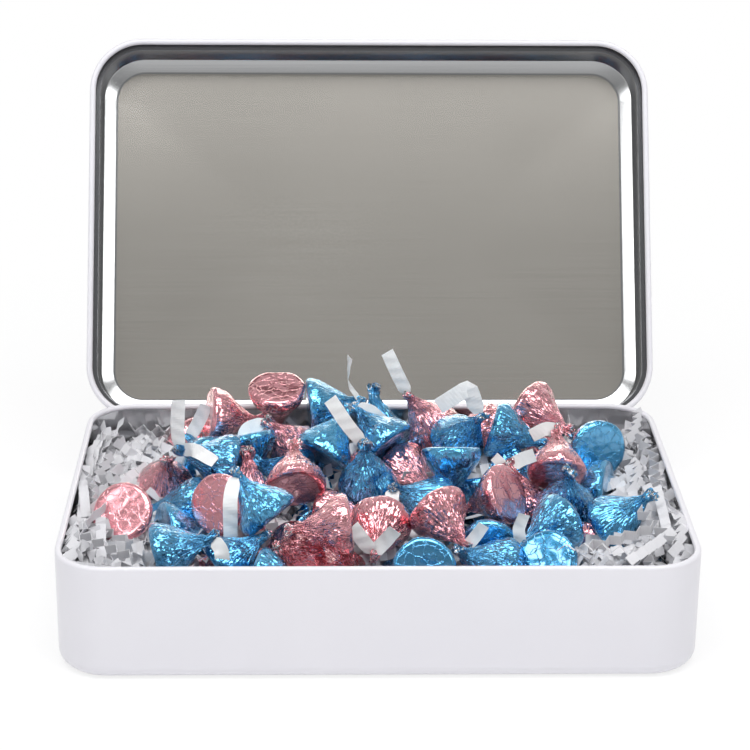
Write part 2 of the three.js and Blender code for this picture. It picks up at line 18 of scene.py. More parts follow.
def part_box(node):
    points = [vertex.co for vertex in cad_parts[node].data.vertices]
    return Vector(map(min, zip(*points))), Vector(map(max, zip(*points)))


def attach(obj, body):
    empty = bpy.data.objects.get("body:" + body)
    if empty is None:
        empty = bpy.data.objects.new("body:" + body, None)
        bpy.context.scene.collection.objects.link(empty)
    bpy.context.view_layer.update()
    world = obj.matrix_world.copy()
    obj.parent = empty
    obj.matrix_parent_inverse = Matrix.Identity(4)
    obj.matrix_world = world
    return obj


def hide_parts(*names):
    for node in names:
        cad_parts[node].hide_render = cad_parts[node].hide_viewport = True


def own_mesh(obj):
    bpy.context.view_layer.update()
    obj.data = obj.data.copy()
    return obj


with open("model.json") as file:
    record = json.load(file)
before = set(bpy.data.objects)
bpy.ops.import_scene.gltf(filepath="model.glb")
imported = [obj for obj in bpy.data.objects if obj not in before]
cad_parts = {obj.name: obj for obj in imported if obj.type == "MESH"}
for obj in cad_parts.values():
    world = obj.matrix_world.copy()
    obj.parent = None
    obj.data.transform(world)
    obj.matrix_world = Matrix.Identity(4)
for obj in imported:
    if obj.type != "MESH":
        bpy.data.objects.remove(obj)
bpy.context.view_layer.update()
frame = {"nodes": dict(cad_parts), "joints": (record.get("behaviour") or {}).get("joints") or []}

log = logging.getLogger("gift_tin")

MM = 0.001
FULL_TURN = 2.0 * math.pi
QUARTER_TURN = math.pi / 2.0
WELD_DISTANCE = 0.002 * MM
Array = np.ndarray


class Body(str, Enum):
    """The two bodies that the hinge joins."""

    TIN = "tin"
    LID = "lid"


class Slot(str, Enum):
    """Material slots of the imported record."""

    LACQUER = "tin_lacquer"
    STEEL = "hinge_steel"
    PAPER = "crinkle_paper"
    BLUE = "blue_foil"
    ROSE = "rose_foil"


def linear(colour: str) -> tuple[float, float, float, float]:
    """Turn an sRGB hex colour to linear light.

    Args:
        colour: six hex digits after a hash.

    Returns:
        Red, green, blue and an alpha of one.
    """
    parts = [int(colour[i : i + 2], 16) / 255.0 for i in (1, 3, 5)]
    red, green, blue = [p / 12.92 if p <= 0.04045 else ((p + 0.055) / 1.055) ** 2.4 for p in parts]
    return red, green, blue, 1.0


def per_metre(size_mm: float) -> float:
    """Scale of a texture whose features are about size_mm across."""
    return 1.0 / (size_mm * MM)


def add_node(tree: bpy.types.NodeTree, kind: str, inputs: dict | None = None, **settings) -> bpy.types.Node:
    """Add one shader node.

    Args:
        tree: the node tree that gets the node.
        kind: the node's type without its ShaderNode prefix.
        inputs: a value, or an output socket to link, for each input by name or number.
        settings: the node's own properties.

    Returns:
        The new node.
    """
    node = tree.nodes.new("ShaderNode" + kind)
    for name, value in settings.items():
        setattr(node, name, value)
    for name, value in (inputs or {}).items():
        if isinstance(value, bpy.types.NodeSocket):
            tree.links.new(value, node.inputs[name])
        else:
            node.inputs[name].default_value = value
    return node


def add_seen(tree: bpy.types.NodeTree) -> bpy.types.NodeSocket:
    """Tell the rays of the eye, of mirrors and of clear things from those that only light the scene.

    Args:
        tree: the node tree that gets the nodes.

    Returns:
        A socket that is one for seeing rays and zero for lighting rays.
    """
    path = add_node(tree, "LightPath")
    direct = add_node(
        tree, "Math", {0: path.outputs["Is Camera Ray"], 1: path.outputs["Is Glossy Ray"]}, operation="MAXIMUM"
    )
    seen = add_node(
        tree, "Math", {0: direct.outputs["Value"], 1: path.outputs["Is Transmission Ray"]}, operation="MAXIMUM"
    )
    return seen.outputs["Value"]


def new_material(name: str) -> tuple[bpy.types.Material, bpy.types.NodeTree, bpy.types.Node]:
    """Make an empty node material.

    Args:
        name: the material's name.

    Returns:
        The material, its node tree and its output node.
    """
    material = bpy.data.materials.new(name)
    material.use_nodes = True
    material.node_tree.nodes.clear()
    return material, material.node_tree, add_node(material.node_tree, "OutputMaterial")


def grid_quads(rows: int, columns: int, wrap: bool) -> Array:
    """Corner numbers of the quads of a grid of points.

    Args:
        rows: points along the profile.
        columns: points along the path.
        wrap: whether the last column joins the first.

    Returns:
        One row of four corner numbers for each quad.
    """
    last = columns if wrap else columns - 1
    row, column = np.meshgrid(np.arange(rows - 1), np.arange(last), indexing="ij")
    low, high, after = row * columns, (row + 1) * columns, (column + 1) % columns
    return np.stack([low + column, low + after, high + after, high + column], axis=-1).reshape(-1, 4)


def build_mesh(name: str, points: Array, quads: Array, smooth: bool = True) -> bpy.types.Object:
    """Make an object at the origin from points and quads.

    Args:
        name: the piece's name.
        points: one row of x, y, z in metres for each corner.
        quads: four corner numbers for each face.
        smooth: whether the faces are shaded smooth.

    Returns:
        The linked object.
    """
    mesh = bpy.data.meshes.new(name)
    mesh.vertices.add(len(points))
    mesh.vertices.foreach_set("co", points.astype(np.float32).ravel())
    mesh.loops.add(quads.size)
    mesh.loops.foreach_set("vertex_index", quads.astype(np.int32).ravel())
    mesh.polygons.add(len(quads))
    mesh.polygons.foreach_set("loop_start", np.arange(0, quads.size, 4, dtype=np.int32))
    mesh.polygons.foreach_set("use_smooth", np.full(len(quads), smooth))
    mesh.update(calc_edges=True)
    piece = bpy.data.objects.new(name, mesh)
    bpy.context.scene.collection.objects.link(piece)
    return piece


def weld(piece: bpy.types.Object) -> None:
    """Merge the doubled points at poles and seams, which turns flat quads there into triangles."""
    work = bmesh.new()
    work.from_mesh(piece.data)
    bmesh.ops.remove_doubles(work, verts=work.verts, dist=WELD_DISTANCE)
    work.to_mesh(piece.data)
    work.free()


def set_point_values(piece: bpy.types.Object, name: str, values: Array) -> None:
    """Store one number or one vector for each point of a piece as a named attribute."""
    kind, member = ("FLOAT_VECTOR", "vector") if values.ndim == 2 else ("FLOAT", "value")
    layer = piece.data.attributes.new(name, kind, "POINT")
    layer.data.foreach_set(member, values.astype(np.float32).ravel())


def triangle_wave(turns: Array) -> Array:
    """Wave from -1 to 1 with straight flanks and sharp folds, one period for each turn."""
    return 4.0 * np.abs(turns - np.floor(turns + 0.5)) - 1.0


@dataclass(frozen=True)
class WhiteLacquer:
    """Stoved white lacquer on tinplate: sprayed and baked, so it is smooth with a faint orange peel."""

    name: str = "stoved_white_lacquer"
    colour: str = "#e0dfe4"
    shade: str = "#dbdae0"
    roughness: float = 0.34
    peel_mm: float = 1.6

    def material(self) -> bpy.types.Material:
        """Satin white whose gloss and level wander slightly, as a baked film does."""
        material, tree, out = new_material(self.name)
        place = add_node(tree, "TexCoord")
        cloud = add_node(tree, "TexNoise", {"Vector": place.outputs["Object"], "Scale": per_metre(35.0)})
        tone = add_node(
            tree, "Mix", {0: cloud.outputs["Fac"], 6: linear(self.colour), 7: linear(self.shade)}, data_type="RGBA"
        )
        peel = add_node(tree, "TexNoise", {"Vector": place.outputs["Object"], "Scale": per_metre(self.peel_mm)})
        bump = add_node(
            tree, "Bump", {"Height": peel.outputs["Fac"], "Strength": 0.05, "Distance": 0.05 * MM}
        )
        gloss = add_node(
            tree, "MapRange", {"Value": cloud.outputs["Fac"], "To Min": self.roughness - 0.05, "To Max": self.roughness + 0.05}
        )
        shader = add_node(
            tree,
            "BsdfPrincipled",
            {
                "Base Color": tone.outputs[2],
                "Roughness": gloss.outputs["Result"],
                "Normal": bump.outputs["Normal"],
                "Metallic": 0.0,
                "IOR": 1.5,
            },
        )
        tree.links.new(shader.outputs["BSDF"], out.inputs["Surface"])
        return material


@dataclass(frozen=True)
class Tinplate:
    """Bare tinplate: rolled steel under a thin coat of tin, with the mill's fine lines along X."""

    name: str
    colour: str
    streak_colour: str
    roughness: float
    line_mm: float = 0.7
    line_length_mm: float = 60.0
    gloss_spread: float = 0.015

    def material(self) -> bpy.types.Material:
        """Grey metal with lines drawn coarser than a mill's, so that they show in the render."""
        material, tree, out = new_material(self.name)
        place = add_node(tree, "TexCoord")
        stretch = add_node(
            tree,
            "Mapping",
            {
                "Vector": place.outputs["Object"],
                "Scale": (per_metre(self.line_length_mm), per_metre(self.line_mm), per_metre(self.line_mm)),
            },
        )
        lines = add_node(tree, "TexNoise", {"Vector": stretch.outputs["Vector"], "Scale": 1.0, "Detail": 3.0})
        cloud = add_node(tree, "TexNoise", {"Vector": place.outputs["Object"], "Scale": per_metre(70.0)})
        tone = add_node(
            tree,
            "Mix",
            {0: lines.outputs["Fac"], 6: linear(self.colour), 7: linear(self.streak_colour)},
            data_type="RGBA",
        )
        gloss = add_node(
            tree,
            "MapRange",
            {
                "Value": cloud.outputs["Fac"],
                "To Min": self.roughness - self.gloss_spread,
                "To Max": self.roughness + self.gloss_spread,
            },
        )
        bump = add_node(tree, "Bump", {"Height": lines.outputs["Fac"], "Strength": 0.12, "Distance": 0.02 * MM})
        shader = add_node(
            tree,
            "BsdfPrincipled",
            {
                "Base Color": tone.outputs[2],
                "Metallic": 1.0,
                "Roughness": gloss.outputs["Result"],
                "Normal": bump.outputs["Normal"],
            },
        )
        tree.links.new(shader.outputs["BSDF"], out.inputs["Surface"])
        return material


@dataclass(frozen=True)
class Foil:
    """Soft aluminium foil under a clear coloured lacquer: crushed by hand, bright on its facets, silver where torn."""

    name: str
    colour: str
    deep: str
    torn: str = "#d3d5d8"
    roughness: float = 0.16
    facet_mm: float = 0.8
    drawn_out: float = 1.6
    dent_mm: float = 2.8
    patch_mm: float = 8.0
    net_mm: float = 3.6
    net_height_mm: float = 0.08
    base_roughness: float = 0.27
    lacquer_ior: float = 2.0
    crease_mm: float = 2.0
    creases_per_radian: float = 6.0

    def facets(self, tree: bpy.types.NodeTree, place: bpy.types.NodeSocket, size_mm: float) -> bpy.types.NodeSocket:
        """Relief of small flat facets, each tilted its own way.

        A cell's height is the dot product of its random colour, less grey, with the way from its middle, so every
        cell is a tilted plane and neighbours meet in a crease.

        Args:
            tree: the node tree that gets the nodes.
            place: the position to read.
            size_mm: how wide a facet is.

        Returns:
            The height in metres.
        """
        cell = add_node(tree, "TexVoronoi", {"Vector": place, "Scale": per_metre(size_mm)})
        away = add_node(tree, "VectorMath", {0: place, 1: cell.outputs["Position"]}, operation="SUBTRACT")
        tilt = add_node(tree, "VectorMath", {0: cell.outputs["Color"], 1: (0.5, 0.5, 0.5)}, operation="SUBTRACT")
        height = add_node(
            tree, "VectorMath", {0: tilt.outputs["Vector"], 1: away.outputs["Vector"]}, operation="DOT_PRODUCT"
        )
        return height.outputs["Value"]

    def net(self, tree: bpy.types.NodeTree, place: bpy.types.NodeSocket) -> bpy.types.NodeSocket:
        """Relief of the thin crooked creases that cross the flat base, one at the most and zero between them.

        The creases are the borders of cells, read at a place that a noise shifts about.

        Args:
            tree: the node tree that gets the nodes.
            place: the position to read.

        Returns:
            The height, from zero to one.
        """
        noise = add_node(tree, "TexNoise", {"Vector": place, "Scale": per_metre(self.net_mm), "Detail": 4.0})
        shift = (self.net_mm * MM,) * 3
        crooked = add_node(
            tree, "VectorMath", {0: noise.outputs["Color"], 1: shift, 2: place}, operation="MULTIPLY_ADD"
        )
        cell = add_node(
            tree,
            "TexVoronoi",
            {"Vector": crooked.outputs["Vector"], "Scale": per_metre(self.net_mm)},
            feature="DISTANCE_TO_EDGE",
        )
        line = add_node(
            tree, "MapRange", {"Value": cell.outputs["Distance"], "From Max": 0.05, "To Min": 1.0, "To Max": 0.0}
        )
        return line.outputs["Result"]

    def creases(self, tree: bpy.types.NodeTree, along: bpy.types.NodeSocket) -> bpy.types.NodeSocket:
        """Relief of sharp creases that run up the drop, close in on its tip and deepen towards it.

        The noise is read on a unit circle, so its features narrow with the drop, and is folded over at its middle,
        which leaves a sharp ridge along the line where it was halfway.

        Args:
            tree: the node tree that gets the nodes.
            along: how far along the drop the point lies.

        Returns:
            The height in metres.
        """
        around = add_node(tree, "Attribute", attribute_name="around")
        noise = add_node(
            tree,
            "TexNoise",
            {"Vector": around.outputs["Vector"], "Scale": self.creases_per_radian, "Detail": 2.0},
        )
        fold = add_node(tree, "Math", {0: noise.outputs["Fac"], 1: 0.5}, operation="PINGPONG")
        depth = add_node(
            tree,
            "MapRange",
            {
                "Value": along,
                "From Min": 0.1,
                "From Max": 0.6,
                "To Min": 0.3 * self.crease_mm * MM,
                "To Max": self.crease_mm * MM,
            },
        )
        ridge = add_node(
            tree, "Math", {0: fold.outputs["Value"], 1: depth.outputs["Result"]}, operation="MULTIPLY"
        )
        return ridge.outputs["Value"]

    def relief(
        self, tree: bpy.types.NodeTree, place: bpy.types.NodeSocket, along: bpy.types.NodeSocket
    ) -> bpy.types.NodeSocket:
        """Height of the crushed foil in metres.

        Fine facets show in patches, more so towards the tip and on some drops than on others, over broad dents and
        the creases. The base, which the drop rested on while it was wrapped, has only its net of thin creases.

        Args:
            tree: the node tree that gets the nodes.
            place: the position to read.
            along: how far along the drop the point lies.

        Returns:
            The height in metres.
        """
        patch = add_node(tree, "TexNoise", {"Vector": place, "Scale": per_metre(self.patch_mm)})
        nearer = add_node(tree, "Math", {0: along, 1: 0.45, 2: patch.outputs["Fac"]}, operation="MULTIPLY_ADD")
        own = add_node(tree, "Attribute", attribute_name="tint")
        crushed = add_node(
            tree, "Math", {0: own.outputs["Fac"], 1: 0.5, 2: nearer.outputs["Value"]}, operation="MULTIPLY_ADD"
        )
        amount = add_node(
            tree,
            "MapRange",
            {"Value": crushed.outputs["Value"], "From Min": 0.68, "From Max": 1.0, "To Min": 0.1, "To Max": 0.85},
        )
        # The foil is drawn up to the tip, so its facets are longer along the drop than across it.
        skin = add_node(tree, "Attribute", attribute_name="skin")
        drawn = add_node(
            tree,
            "VectorMath",
            {0: skin.outputs["Vector"], 1: (1.0, 1.0, 1.0 / self.drawn_out)},
            operation="MULTIPLY",
        )
        facets = self.facets(tree, drawn.outputs["Vector"], self.facet_mm)
        fine = add_node(
            tree,
            "Math",
            {0: facets, 1: amount.outputs["Result"], 2: self.creases(tree, along)},
            operation="MULTIPLY_ADD",
        )
        side = add_node(
            tree,
            "Math",
            {0: self.facets(tree, place, self.dent_mm), 1: 0.42, 2: fine.outputs["Value"]},
            operation="MULTIPLY_ADD",
        )
        base = add_node(
            tree, "Math", {0: self.net(tree, place), 1: self.net_height_mm * MM}, operation="MULTIPLY"
        )
        off_base = add_node(tree, "MapRange", {"Value": along, "From Min": 0.03, "From Max": 0.07})
        height = add_node(
            tree,
            "Mix",
            {0: off_base.outputs["Result"], 2: base.outputs["Value"], 3: side.outputs["Value"]},
            data_type="FLOAT",
        )
        return height.outputs[0]

    def material(self) -> bpy.types.Material:
        """Coloured metal that sparkles where it is crushed, with flecks of bare foil at the torn end."""
        material, tree, out = new_material(self.name)
        place = add_node(tree, "TexCoord").outputs["Object"]
        along = add_node(tree, "Attribute", attribute_name="along").outputs["Fac"]
        tint = add_node(tree, "Attribute", attribute_name="tint").outputs["Fac"]
        bump = add_node(tree, "Bump", {"Height": self.relief(tree, place, along), "Strength": 1.0, "Distance": 1.0})
        shade = add_node(tree, "Mix", {0: tint, 6: linear(self.colour), 7: linear(self.deep)}, data_type="RGBA")
        fleck = add_node(tree, "TexNoise", {"Vector": place, "Scale": per_metre(1.2), "Detail": 3.0})
        near_tip = add_node(
            tree, "MapRange", {"Value": along, "From Min": 0.7, "From Max": 1.0, "To Max": 0.28}
        )
        bare = add_node(tree, "Math", {0: fleck.outputs["Fac"], 1: near_tip.outputs["Result"]}, operation="ADD")
        mask = add_node(tree, "MapRange", {"Value": bare.outputs["Value"], "From Min": 0.72, "From Max": 0.8})
        colour = add_node(
            tree, "Mix", {0: mask.outputs["Result"], 6: shade.outputs[2], 7: linear(self.torn)}, data_type="RGBA"
        )
        # The base was rubbed on the wrapping table, so it shines less than the sides.
        gloss = add_node(
            tree,
            "MapRange",
            {
                "Value": along,
                "From Min": 0.03,
                "From Max": 0.07,
                "To Min": self.base_roughness,
                "To Max": self.roughness,
            },
        )
        shader = add_node(
            tree,
            "BsdfPrincipled",
            {
                "Base Color": colour.outputs[2],
                "Metallic": 1.0,
                "Roughness": gloss.outputs["Result"],
                "Normal": bump.outputs["Normal"],
                "Coat Weight": 1.0,
                "Coat IOR": self.lacquer_ior,
                "Coat Roughness": 0.13,
                "Coat Normal": bump.outputs["Normal"],
            },
        )
        tree.links.new(shader.outputs["BSDF"], out.inputs["Surface"])
        return material


@dataclass(frozen=True)
class Paper:
    """Uncoated bleached paper: pulp fibres make it matt, and light glows through a thin strip."""

    name: str
    colour: str
    shade: str
    fibre_mm: float = 0.6
    glow: float = 0.3

    def material(self) -> bpy.types.Material:
        """Matt white with a fibrous tone, and a share of light passed through the sheet."""
        material, tree, out = new_material(self.name)
        place = add_node(tree, "TexCoord")
        fibre = add_node(
            tree, "TexNoise", {"Vector": place.outputs["Object"], "Scale": per_metre(self.fibre_mm), "Detail": 4.0}
        )
        tone = add_node(
            tree, "Mix", {0: fibre.outputs["Fac"], 6: linear(self.colour), 7: linear(self.shade)}, data_type="RGBA"
        )
        bump = add_node(tree, "Bump", {"Height": fibre.outputs["Fac"], "Strength": 0.2, "Distance": 0.05 * MM})
        front = add_node(
            tree,
            "BsdfPrincipled",
            {"Base Color": tone.outputs[2], "Roughness": 0.85, "Normal": bump.outputs["Normal"]},
        )
        through = add_node(tree, "BsdfTranslucent", {"Color": tone.outputs[2]})
        sheet = add_node(
            tree, "MixShader", {0: self.glow, 1: front.outputs["BSDF"], 2: through.outputs["BSDF"]}
        )
        tree.links.new(sheet.outputs["Shader"], out.inputs["Surface"])
        return material


@dataclass(frozen=True)
class Sweep:
    """Matt white paper sweep that the tin stands on."""

    name: str = "matt_white_sweep"
    colour: str = "#f6f6f7"
    near_mm: float = 150.0
    far_mm: float = 420.0
    near_share: float = 0.78

    def material(self) -> bpy.types.Material:
        """Matt white that the eye and mirrors see partly as a lit sheet, wholly so away from the tin's shadow."""
        material, tree, out = new_material(self.name)
        place = add_node(tree, "TexCoord")
        grain = add_node(tree, "TexNoise", {"Vector": place.outputs["Object"], "Scale": per_metre(2.0)})
        bump = add_node(tree, "Bump", {"Height": grain.outputs["Fac"], "Strength": 0.02, "Distance": 0.1 * MM})
        matt = add_node(
            tree, "BsdfDiffuse", {"Color": linear(self.colour), "Normal": bump.outputs["Normal"]}
        )
        sheet = add_node(tree, "Emission", {"Strength": 1.0})
        apart = add_node(tree, "VectorMath", {0: place.outputs["Object"]}, operation="LENGTH")
        share = add_node(
            tree,
            "MapRange",
            {
                "Value": apart.outputs["Value"],
                "From Min": self.near_mm * MM,
                "From Max": self.far_mm * MM,
                "To Min": self.near_share,
            },
        )
        seen = add_seen(tree)
        lit = add_node(tree, "Math", {0: share.outputs["Result"], 1: seen}, operation="MULTIPLY")
        shader = add_node(
            tree, "MixShader", {0: lit.outputs["Value"], 1: matt.outputs["BSDF"], 2: sheet.outputs["Emission"]}
        )
        tree.links.new(shader.outputs["Shader"], out.inputs["Surface"])
        return material


@dataclass
class Plan:
    """A rectangle with round corners, in millimetres."""

    width: float
    depth: float
    radius: float

    def outside(self, x: Array, y: Array, inset: float) -> tuple[Array, Array, Array]:
        """How far points lie outside the outline drawn in by an inset.

        The distance to a rounded rectangle is the length of what a point has past the corner's centre on both axes,
        less the radius.

        Args:
            x: plan positions along the width.
            y: plan positions along the depth.
            inset: how far the outline is drawn in.

        Returns:
            The distance, negative inside, and the x and y of the way out.
        """
        radius = self.radius - inset
        past_x = np.abs(x) - (self.width / 2.0 - self.radius)
        past_y = np.abs(y) - (self.depth / 2.0 - self.radius)
        out_x, out_y = np.maximum(past_x, 0.0), np.maximum(past_y, 0.0)
        reach = np.hypot(out_x, out_y)
        distance = reach + np.minimum(np.maximum(past_x, past_y), 0.0) - radius
        safe = np.maximum(reach, 1e-9)
        return distance, np.sign(x) * out_x / safe, np.sign(y) * out_y / safe


@dataclass
class Pressing:
    """A drawn sheet: a section of insets and heights carried round a rounded rectangle."""

    plan: Plan
    corner_steps: int = 20
    least_radius: float = 0.3

    def carry(self, insets: Array, heights: Array) -> Array:
        """Carry a section round the plan.

        Each ring is the plan's outline drawn in by its inset: corner centres stay put while the radius shrinks, and
        past the corner radius the rectangle itself shrinks, down to a line when the inset is half the depth.

        Args:
            insets: distance of each ring inside the outline.
            heights: height of each ring.

        Returns:
            Points in millimetres, ring by ring.
        """
        corner = np.repeat(np.arange(4), self.corner_steps + 1)
        share = np.tile(np.linspace(0.0, 1.0, self.corner_steps + 1), 4)
        angle = (corner + share) * QUARTER_TURN
        sign_x = np.where((corner == 0) | (corner == 3), 1.0, -1.0)
        sign_y = np.where(corner < 2, 1.0, -1.0)
        inset = insets[:, None]
        radius = np.maximum(self.plan.radius - inset, 0.0)
        radius = np.where(inset >= self.plan.depth / 2.0, 0.0, np.maximum(radius, self.least_radius))
        x = sign_x * (self.plan.width / 2.0 - inset - radius) + radius * np.cos(angle)
        y = sign_y * (self.plan.depth / 2.0 - inset - radius) + radius * np.sin(angle)
        z = np.broadcast_to(heights[:, None], x.shape)
        return np.stack([x, y, z], axis=-1).reshape(-1, 3)

    def quads(self, rings: int) -> Array:
        """Faces between neighbouring rings."""
        return grid_quads(rings, 4 * (self.corner_steps + 1), True)


def bend(centre_inset: float, centre_height: float, radius: float, start: float, stop: float, steps: int) -> Array:
    """Points of a circular bend in a section.

    The angle is zero on the outer side and grows upwards, so inset = centre - r cos a and height = centre + r sin a.

    Args:
        centre_inset: inset of the bend's centre.
        centre_height: height of the bend's centre.
        radius: radius of the bend.
        start: first angle in degrees.
        stop: last angle in degrees.
        steps: number of chords.

    Returns:
        Rows of inset and height.
    """
    angle = np.radians(np.linspace(start, stop, steps + 1))
    return np.stack([centre_inset - radius * np.cos(angle), centre_height + radius * np.sin(angle)], axis=-1)


def dress(piece: bpy.types.Object, materials: list[bpy.types.Material], faces: Array | None = None) -> None:
    """Give a piece its materials.

    Args:
        piece: the piece to dress.
        materials: its materials in slot order.
        faces: the slot number of each face, or None for the first slot everywhere.
    """
    piece.data.materials.clear()
    for material in materials:
        piece.data.materials.append(material)
    if faces is not None:
        piece.data.polygons.foreach_set("material_index", faces.astype(np.int32))


def place_on(piece: bpy.types.Object, body: Body, slot: Slot, *nodes: str) -> None:
    """Ride a piece on a body and let it stand for the given nodes."""
    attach(piece, body.value)
    if nodes:
        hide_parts(*nodes)
    log.info("%s rides on %s", piece.name, body.value)


@dataclass
class TinBody:
    """The drawn tray: white outside and over its rolled rim, bright tinplate inside."""

    corner_radius: float = 18.5
    bottom_radius: float = 5.0
    sheet: float = 0.4
    roll_diameter: float = 2.4
    roll_turn: float = 280.0
    bend_steps: int = 8
    roll_steps: int = 20
    plan: Plan = field(init=False)
    height: float = field(init=False)

    def __post_init__(self) -> None:
        """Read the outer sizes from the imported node."""
        low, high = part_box("tin_body")
        size = (high - low) / MM
        self.plan = Plan(size.x, size.y, self.corner_radius)
        self.height = size.z

    def build(self, lacquer: bpy.types.Material, bright: bpy.types.Material) -> None:
        """Carry the wall's section, outside first, and lacquer the rings of its outer side.

        Args:
            lacquer: finish of the outside and the rolled rim.
            bright: finish of the inside.
        """
        roll = self.roll_diameter / 2.0
        roll_height = self.height - roll
        floor = self.plan.depth / 2.0
        corner = self.bottom_radius
        outside = np.concatenate(
            [
                [[floor, 0.0]],
                bend(corner, corner, corner, -90.0, 0.0, self.bend_steps),
                bend(roll, roll_height, roll, 0.0, self.roll_turn, self.roll_steps),
            ]
        )
        inside = np.concatenate(
            [
                bend(roll, roll_height, roll - self.sheet, self.roll_turn, 0.0, self.roll_steps),
                bend(corner, corner, corner - self.sheet, 0.0, -90.0, self.bend_steps),
                [[floor, self.sheet]],
            ]
        )
        section = np.concatenate([outside, inside])
        pressing = Pressing(self.plan)
        piece = build_mesh(
            "tin_tray", pressing.carry(section[:, 0], section[:, 1]) * MM, pressing.quads(len(section))
        )
        ring = np.repeat(np.arange(len(section) - 1), 4 * (pressing.corner_steps + 1))
        dress(piece, [lacquer, bright], np.where(ring < len(outside), 0, 1))
        piece.data.set_sharp_from_angle(angle=math.radians(40.0))
        weld(piece)
        place_on(piece, Body.TIN, Slot.LACQUER, "tin_body")


@dataclass
class Lid:
    """The drawn lid: rolled edge, short skirt, ledge, upper skirt, sloped shoulder and flat panel."""

    tin: TinBody
    ledge_height: float = 4.5
    ledge_run: float = 3.8
    skirt_height: float = 17.9
    shoulder_run: float = 5.3
    shoulder_rise: float = 2.1
    seat_gap: float = 0.3
    press_radius: float = 0.5
    bend_steps: int = 5
    plan: Plan = field(init=False)

    def __post_init__(self) -> None:
        """Draw the lid's outline around the tin's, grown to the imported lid's width."""
        low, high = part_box("lid")
        grown = ((high - low) / MM).x - self.tin.plan.width
        self.plan = Plan(
            self.tin.plan.width + grown, self.tin.plan.depth + grown, self.tin.corner_radius + grown / 2.0
        )

    def room_above(self, x: Array, y: Array) -> Array:
        """Height of the closed lid's inner face: the panel's, less the fall of the shoulder round it.

        Args:
            x: positions along the width in millimetres.
            y: positions along the depth in millimetres.

        Returns:
            Heights in millimetres.
        """
        panel_height = self.tin.height + self.seat_gap - self.ledge_height + self.skirt_height + self.shoulder_rise
        panel_inset = self.ledge_run + self.tin.sheet + self.shoulder_run
        past = self.plan.outside(x, y, panel_inset)[0]
        return panel_height - self.shoulder_rise * np.clip(past / self.shoulder_run, 0.0, 1.0)

    def rounded(self, corners: Array, radii: Array) -> Array:
        """Round the corners of a section.

        Each corner becomes a quadratic curve that starts and ends its radius away along both flanks.

        Args:
            corners: rows of inset and height.
            radii: how far along each flank a corner is cut, zero to keep it sharp.

        Returns:
            Rows of inset and height of the rounded section.
        """
        before, after = np.roll(corners, 1, axis=0) - corners, np.roll(corners, -1, axis=0) - corners
        before /= np.maximum(np.linalg.norm(before, axis=1, keepdims=True), 1e-9)
        after /= np.maximum(np.linalg.norm(after, axis=1, keepdims=True), 1e-9)
        t = np.linspace(0.0, 1.0, self.bend_steps + 1)[None, :, None]
        start = (corners + before * radii[:, None])[:, None, :]
        stop = (corners + after * radii[:, None])[:, None, :]
        curve = (1.0 - t) ** 2 * start + 2.0 * t * (1.0 - t) * corners[:, None, :] + t**2 * stop
        kept = [c if r > 0.0 else c[:1] for c, r in zip(curve, radii)]
        return np.concatenate(kept)

    def build(self, lacquer: bpy.types.Material, metals: list[bpy.types.Material], hinge: dict) -> None:
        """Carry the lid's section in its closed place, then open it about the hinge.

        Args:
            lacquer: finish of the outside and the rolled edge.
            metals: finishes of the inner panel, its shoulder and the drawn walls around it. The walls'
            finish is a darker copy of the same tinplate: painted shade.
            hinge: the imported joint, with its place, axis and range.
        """
        sheet, roll = self.tin.sheet, self.tin.roll_diameter / 2.0
        wall = self.ledge_run + sheet
        panel_inset, panel_height = wall + self.shoulder_run, self.skirt_height + self.shoulder_rise
        centre = self.plan.depth / 2.0
        press, tight = self.press_radius, self.press_radius / 2.0
        inside = self.rounded(
            np.array(
                [
                    [centre, panel_height],
                    [panel_inset, panel_height],
                    [wall, self.skirt_height],
                    [wall, self.ledge_height],
                    [sheet, self.ledge_height],
                    [sheet, roll],
                ]
            ),
            np.array([0.0, press, press, press, tight, 0.0]),
        )
        outside = self.rounded(
            np.array(
                [
                    [0.0, roll],
                    [0.0, self.ledge_height + sheet],
                    [self.ledge_run, self.ledge_height + sheet],
                    [self.ledge_run, self.skirt_height],
                    [panel_inset, panel_height + sheet],
                    [centre, panel_height + sheet],
                ]
            ),
            np.array([0.0, press, press, press, press, 0.0]),
        )
        turn, steps = self.tin.roll_turn, self.tin.roll_steps
        inner_roll = bend(roll, roll, roll - sheet, 0.0, -turn, steps)
        outer_roll = bend(roll, roll, roll, -turn, 0.0, steps)
        section = np.concatenate([inside, inner_roll, outer_roll, outside])
        pressing = Pressing(self.plan)
        points = pressing.carry(section[:, 0], section[:, 1])
        points[:, 2] += self.tin.height + self.seat_gap - self.ledge_height
        piece = build_mesh("lid_pressing", points * MM, pressing.quads(len(section)))
        ring = np.repeat(np.arange(len(section) - 1), 4 * (pressing.corner_steps + 1))
        shoulder_end = 1 + 3 * (self.bend_steps + 1) // 2
        # The drawn walls below the shoulder take the darker copy of the tinplate, painted shade for the dark they face
        # and mirror.
        metal = np.where(ring < 1, 1, np.where(ring < shoulder_end, 2, 3))
        dress(piece, [lacquer, *metals], np.where(ring < len(inside) + len(inner_roll), metal, 0))
        open_angle = math.radians(max(hinge["range_deg"], key=abs))
        pivot = Matrix.Translation(hinge["pos_m"])
        piece.data.transform(pivot @ Matrix.Rotation(-open_angle, 4, hinge["axis"]) @ pivot.inverted())
        piece.data.set_sharp_from_angle(angle=math.radians(50.0))
        weld(piece)
        place_on(piece, Body.LID, Slot.LACQUER, "lid")


